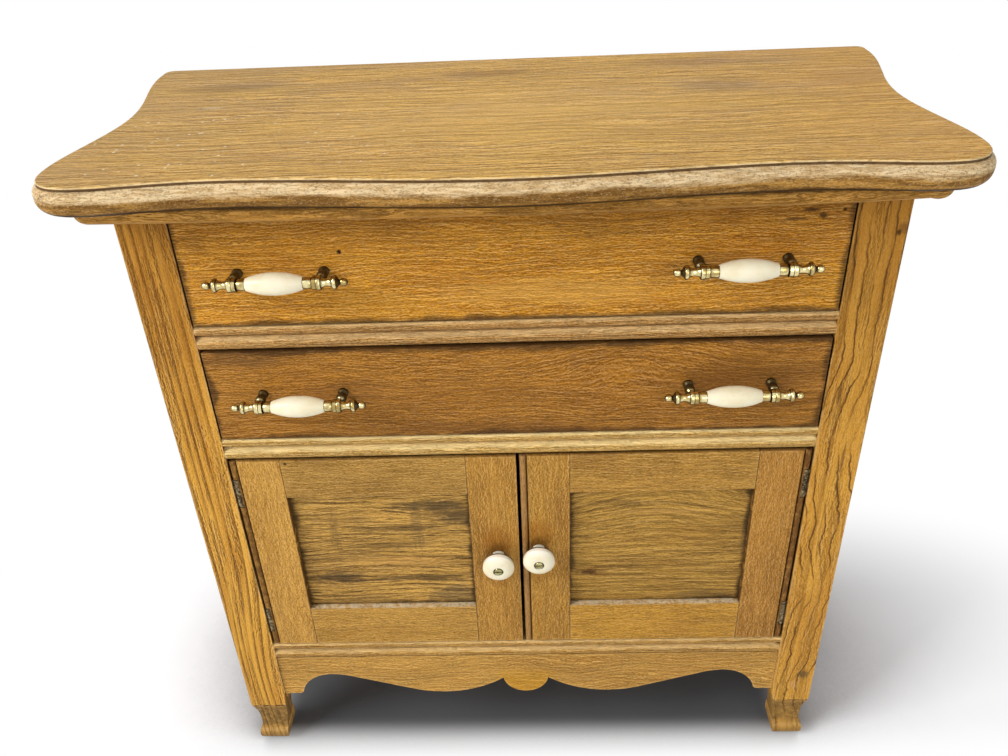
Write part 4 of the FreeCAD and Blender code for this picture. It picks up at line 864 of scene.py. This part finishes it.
def brass(name, dull, light=(240, 226, 172), dark=(196, 170, 104), stem=None):
    """Old brass, bright where it is handled and dark brown on the steps of its turning and, with stem,
    behind that depth. Its sides and the rims it turns from the view get a painted dark reflection."""
    graph = material_graph(name)
    spots = graph.noise(graph.coordinates, 420.0, 4.0, 0.65)
    smudge = graph.noise(graph.coordinates, 110.0, 3.0, 0.6)
    groove = graph.add(graph.nearness(0.0040), graph.centred(spots, 0.5))
    # facing and rim darken the sides and the edges seen edge-on: a painted dark reflection, mixed in
    # with the tarnish
    facing = graph.math("ABSOLUTE", graph.normal()[0])
    rim = graph.new("ShaderNodeLayerWeight").outputs["Facing"]
    tarnish_and_dark_reflection = graph.largest(graph.ramp(groove, 0.16, 0.36), graph.ramp(facing, 0.40, 0.75, 0.0, 0.9),
                            graph.ramp(graph.add(rim, graph.centred(spots, 0.4)), 0.38, 0.72, 0.0, 0.9),
                            graph.times(graph.ramp(smudge, 0.44, 0.64), dull))
    if stem is not None:
        behind = graph.add(graph.split()[1], graph.centred(spots, 0.006))
        dark_stem = graph.ramp(behind, stem - 0.003, stem + 0.003, 0.0, 0.88)
        tarnish_and_dark_reflection = graph.largest(tarnish_and_dark_reflection, dark_stem)
    colour = graph.mix(graph.ramp(smudge, 0.35, 0.65), linear(*light), linear(*dark))
    colour = graph.paint(colour, (44, 30, 14), tarnish_and_dark_reflection)
    roughness = graph.add(graph.ramp(spots, 0.3, 0.7, 0.14, 0.24), graph.times(tarnish_and_dark_reflection, 0.3))
    return graph.finish(colour, roughness, graph.add(spots, smudge), 0.00005, Metallic=1.0)


for level in ("upper", "lower"):
    dress(brass(f"brass_{level}_spindles", 0.25), f"{level}_pull_spindles", f"{level}_pull_ferrules")
    dress(brass(f"brass_{level}_posts", 0.3, stem=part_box(f"{level}_pull_spindles")[1].y + 0.002),
          f"{level}_pull_posts", f"{level}_pull_screws")
dress(brass("brass_knob_screws", 0.35, (204, 194, 136), (152, 140, 92)),
      "left_door_knob_screw", "right_door_knob_screw")


def steel(name):
    """Hinge steel under brown paint and dirt, scuffed bare in places, with painted shade in its
    hollows.
    """
    graph = material_graph(name)
    scuff = graph.noise(graph.coordinates, 260.0, 4.0, 0.7)
    cloud = graph.noise(graph.coordinates, 80.0, 2.0, 0.5)
    colour = graph.mix(graph.ramp(cloud, 0.35, 0.65), linear(50, 37, 21), linear(98, 79, 48))
    colour = graph.paint(colour, (158, 142, 104), graph.ramp(scuff, 0.47, 0.62))
    # painted shade in the hollows, where other surfaces are near
    colour = graph.paint(colour, (26, 17, 10), graph.ramp(graph.nearness(0.004), 0.3, 0.7))
    roughness = graph.ramp(scuff, 0.3, 0.7, 0.62, 0.4)
    return graph.finish(colour, roughness, scuff, 0.0002, Metallic=0.2, Specular_IOR_Level=0.2)


dress(steel("aged_steel"), "case_hinge_leaves", "hinge_pins", "case_hinge_screws",
      "left_door_hinge_leaves", "left_door_hinge_screws",
      "right_door_hinge_leaves", "right_door_hinge_screws")


def knob_painted_light(graph, colour, knob):
    """A knob is painted paler above, a painted highlight. Its neck and the sides of its foot are
    painted dark brown, a painted shade.
    """
    x, y, _ = graph.split()
    low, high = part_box(knob)
    middle = (low.x + high.x) / 2
    # painted highlight on faces that look up
    colour = graph.paint(colour, (250, 244, 226), graph.ramp(graph.normal()[2], 0.35, 0.8))
    # painted shade on the neck and on the sides of the foot
    across = graph.math("ABSOLUTE", graph.less(x, middle))
    foot = graph.times(graph.ramp(y, high.y - 0.0028, high.y - 0.0020),
                       graph.ramp(across, 0.0064, 0.0050))
    neck = graph.ramp(y, high.y - 0.0140, high.y - 0.0128)
    painted_shade = graph.largest(graph.less(neck, graph.times(foot, 0.75)), 0.0)
    return graph.paint(colour, (70, 44, 20), painted_shade, 0.92)


def ceramic(name, knob=None):
    """Cream glaze, a little uneven in tone, with painted shade in its crevices."""
    graph = material_graph(name)
    cloud = graph.noise(graph.coordinates, 60.0, 2.0, 0.5)
    colour = graph.mix(graph.ramp(cloud, 0.3, 0.7), linear(236, 224, 188), linear(242, 234, 206))
    # painted shade in crevices, where other surfaces are near
    crevice = graph.ramp(graph.nearness(0.003), 0.35, 0.75)
    colour = graph.paint(colour, (120, 88, 50), crevice, 0.7)
    if knob:
        colour = knob_painted_light(graph, colour, knob)
    ripple = graph.noise(graph.coordinates, 150.0, 2.0, 0.5)
    return graph.finish(colour, graph.ramp(cloud, 0.3, 0.7, 0.24, 0.34), ripple, 0.00008,
                        Specular_IOR_Level=0.3, Subsurface_Weight=0.06, Subsurface_Scale=0.003)


dress(ceramic("cream_barrels"), "upper_pull_barrels", "lower_pull_barrels")
for side in ("left", "right"):
    dress(ceramic(f"cream_{side}_knob", f"{side}_door_knob"), f"{side}_door_knob")

# ---------------------------------------------------------------- floor, light and camera

FLOOR_HALF = 6.0
PAPER_TONES = ((242, 243, 246), (247, 248, 250))
PAPER_SEEN = 1.25                       # how much brighter the paper is where it is seen directly
SHADE_UNDER = (90, 92, 95)              # the paper's tone under the cabinet
SHADE_NEAR = (60, 62, 64)               # its tone against the feet
SHADE_REACH = 0.30                      # how far the feet and the cabinet darken it
# how far the shadow reaches over the floor: its edge in Y, and the width over which it fades
SHADOW_FRONT, FADE_FRONT = -0.080, 0.060
SHADOW_BACK, FADE_BACK = 0.080, 0.20
FADE_SIDE = 0.40
LIGHT_STRENGTH, WHITE_STRENGTH = 0.50, 1.0
LAMP_TARGET = (0, 0, 0.4)
LAMPS = {                               # place, size and power
    "key": ((-2.1, -1.3, 2.2), 1.2, 60),
    "fill": ((0.9, -2.8, 1.5), 1.6, 18),
}
# the camera as it was solved from the cabinet's straight edges in the photo
CAMERA_PLACE = (0.0207406, -0.83661757, 0.97707348)
CAMERA_TURN = (1.0116735, 0.03920401, 0.01795537)
CAMERA_LENS, SENSOR_WIDTH = 32.14, 36.0


def background_share(graph):
    """1 for the rays that see the background directly, in metal or through glass; 0 for its light."""
    path = graph.new("ShaderNodeLightPath")
    return graph.largest(path.outputs["Is Camera Ray"], path.outputs["Is Glossy Ray"],
                         path.outputs["Is Transmission Ray"])


def seen_paper(graph, paper):
    """The paper where it is seen directly: bright, with painted shadow over the real one, grey round
    the cabinet and dark under it.
    """
    x, y, _ = graph.split()
    bright = graph.new("ShaderNodeVectorMath", operation="SCALE")
    graph.feed(bright.inputs[0], paper)
    bright.inputs["Scale"].default_value = PAPER_SEEN
    # painted shadow where the cabinet is near, and darker still within its footprint
    covered = graph.nearness(SHADE_REACH, samples=16)
    colour = graph.paint(bright.outputs[0], SHADE_NEAR, graph.ramp(covered, 0.03, 0.45, 0.0, 0.7))
    leg_low, leg_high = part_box("front_leg_right")
    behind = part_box("back_leg_right")[1].y
    within = graph.smallest(graph.less(leg_high.x, graph.math("ABSOLUTE", x)),
                            graph.less(y, leg_low.y), graph.less(behind, y))
    return graph.paint(colour, SHADE_UNDER, graph.ramp(within, -0.004, 0.040))


def past_shadow(graph):
    """0 on the floor under the cabinet, rising over the widths of the fades on each side."""
    x, y, _ = graph.split()
    half_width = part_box("front_leg_right")[1].x
    beside = graph.largest(graph.less(graph.math("ABSOLUTE", x), half_width), 0.0)
    aside = graph.times(beside, 1 / FADE_SIDE)
    ahead = graph.largest(graph.times(graph.less(SHADOW_FRONT, y), 1 / FADE_FRONT),
                          graph.times(graph.less(y, SHADOW_BACK), 1 / FADE_BACK), 0.0)
    squares = graph.add(graph.times(aside, aside), graph.times(ahead, ahead))
    return graph.math("POWER", squares, 0.5)


def studio_paper():
    """White paper that turns into pure white where the cabinet's shadow has faded."""
    graph = material_graph("studio_paper")
    direct = background_share(graph)
    tooth = graph.noise(graph.coordinates, 40.0, 2.0, 0.5)
    paper = graph.mix(tooth, *(linear(*tone) for tone in PAPER_TONES))
    diffuse = graph.new("ShaderNodeBsdfDiffuse")
    graph.feed(diffuse.inputs["Color"], graph.mix(direct, paper, seen_paper(graph, paper)))
    white = graph.new("ShaderNodeEmission")
    white.inputs["Strength"].default_value = WHITE_STRENGTH
    blend = graph.new("ShaderNodeMixShader")
    graph.feed(blend.inputs[0], graph.times(graph.ramp(past_shadow(graph), 0.25, 1.35), direct))
    graph.feed(blend.inputs[1], diffuse.outputs[0])
    graph.feed(blend.inputs[2], white.outputs[0])
    output = graph.new("ShaderNodeOutputMaterial")
    graph.feed(output.inputs["Surface"], blend.outputs[0])
    return graph.owner


def studio_world():
    """Even soft light; white where it is seen directly."""
    world = bpy.data.worlds.new("studio")
    bpy.context.scene.world = world
    graph = Graph(world)
    background = graph.new("ShaderNodeBackground")
    graph.feed(background.inputs["Strength"],
               graph.choose(background_share(graph), LIGHT_STRENGTH, WHITE_STRENGTH))
    background.inputs["Color"].default_value = (1, 1, 1, 1)
    output = graph.new("ShaderNodeOutputWorld")
    graph.feed(output.inputs["Surface"], background.outputs[0])


def lamp(name, place, size, power):
    light = bpy.data.lights.new(name, "AREA")
    light.shape = "RECTANGLE"
    light.size = light.size_y = size
    light.energy = power
    holder = bpy.data.objects.new(name, light)
    holder.location = place
    aim = Vector(LAMP_TARGET) - Vector(place)
    holder.rotation_euler = aim.to_track_quat("-Z", "Y").to_euler()
    bpy.context.scene.collection.objects.link(holder)


floor_mesh = bpy.data.meshes.new("studio_floor")
floor_mesh.from_pydata([(-FLOOR_HALF, -FLOOR_HALF, 0), (FLOOR_HALF, -FLOOR_HALF, 0),
                        (FLOOR_HALF, FLOOR_HALF, 0), (-FLOOR_HALF, FLOOR_HALF, 0)],
                       [], [(0, 1, 2, 3)])
floor = bpy.data.objects.new("studio_floor", floor_mesh)
bpy.context.scene.collection.objects.link(floor)
floor_mesh.materials.append(studio_paper())

studio_world()
for name, (place, size, power) in LAMPS.items():
    lamp(name, place, size, power)

camera_data = bpy.data.cameras.new("camera")
camera_data.sensor_width = SENSOR_WIDTH
camera_data.lens = CAMERA_LENS
camera = bpy.data.objects.new("camera", camera_data)
camera.location = CAMERA_PLACE
camera.rotation_euler = CAMERA_TURN
bpy.context.scene.collection.objects.link(camera)
bpy.context.scene.camera = camera
bpy.context.scene.view_settings.view_transform = "Standard"
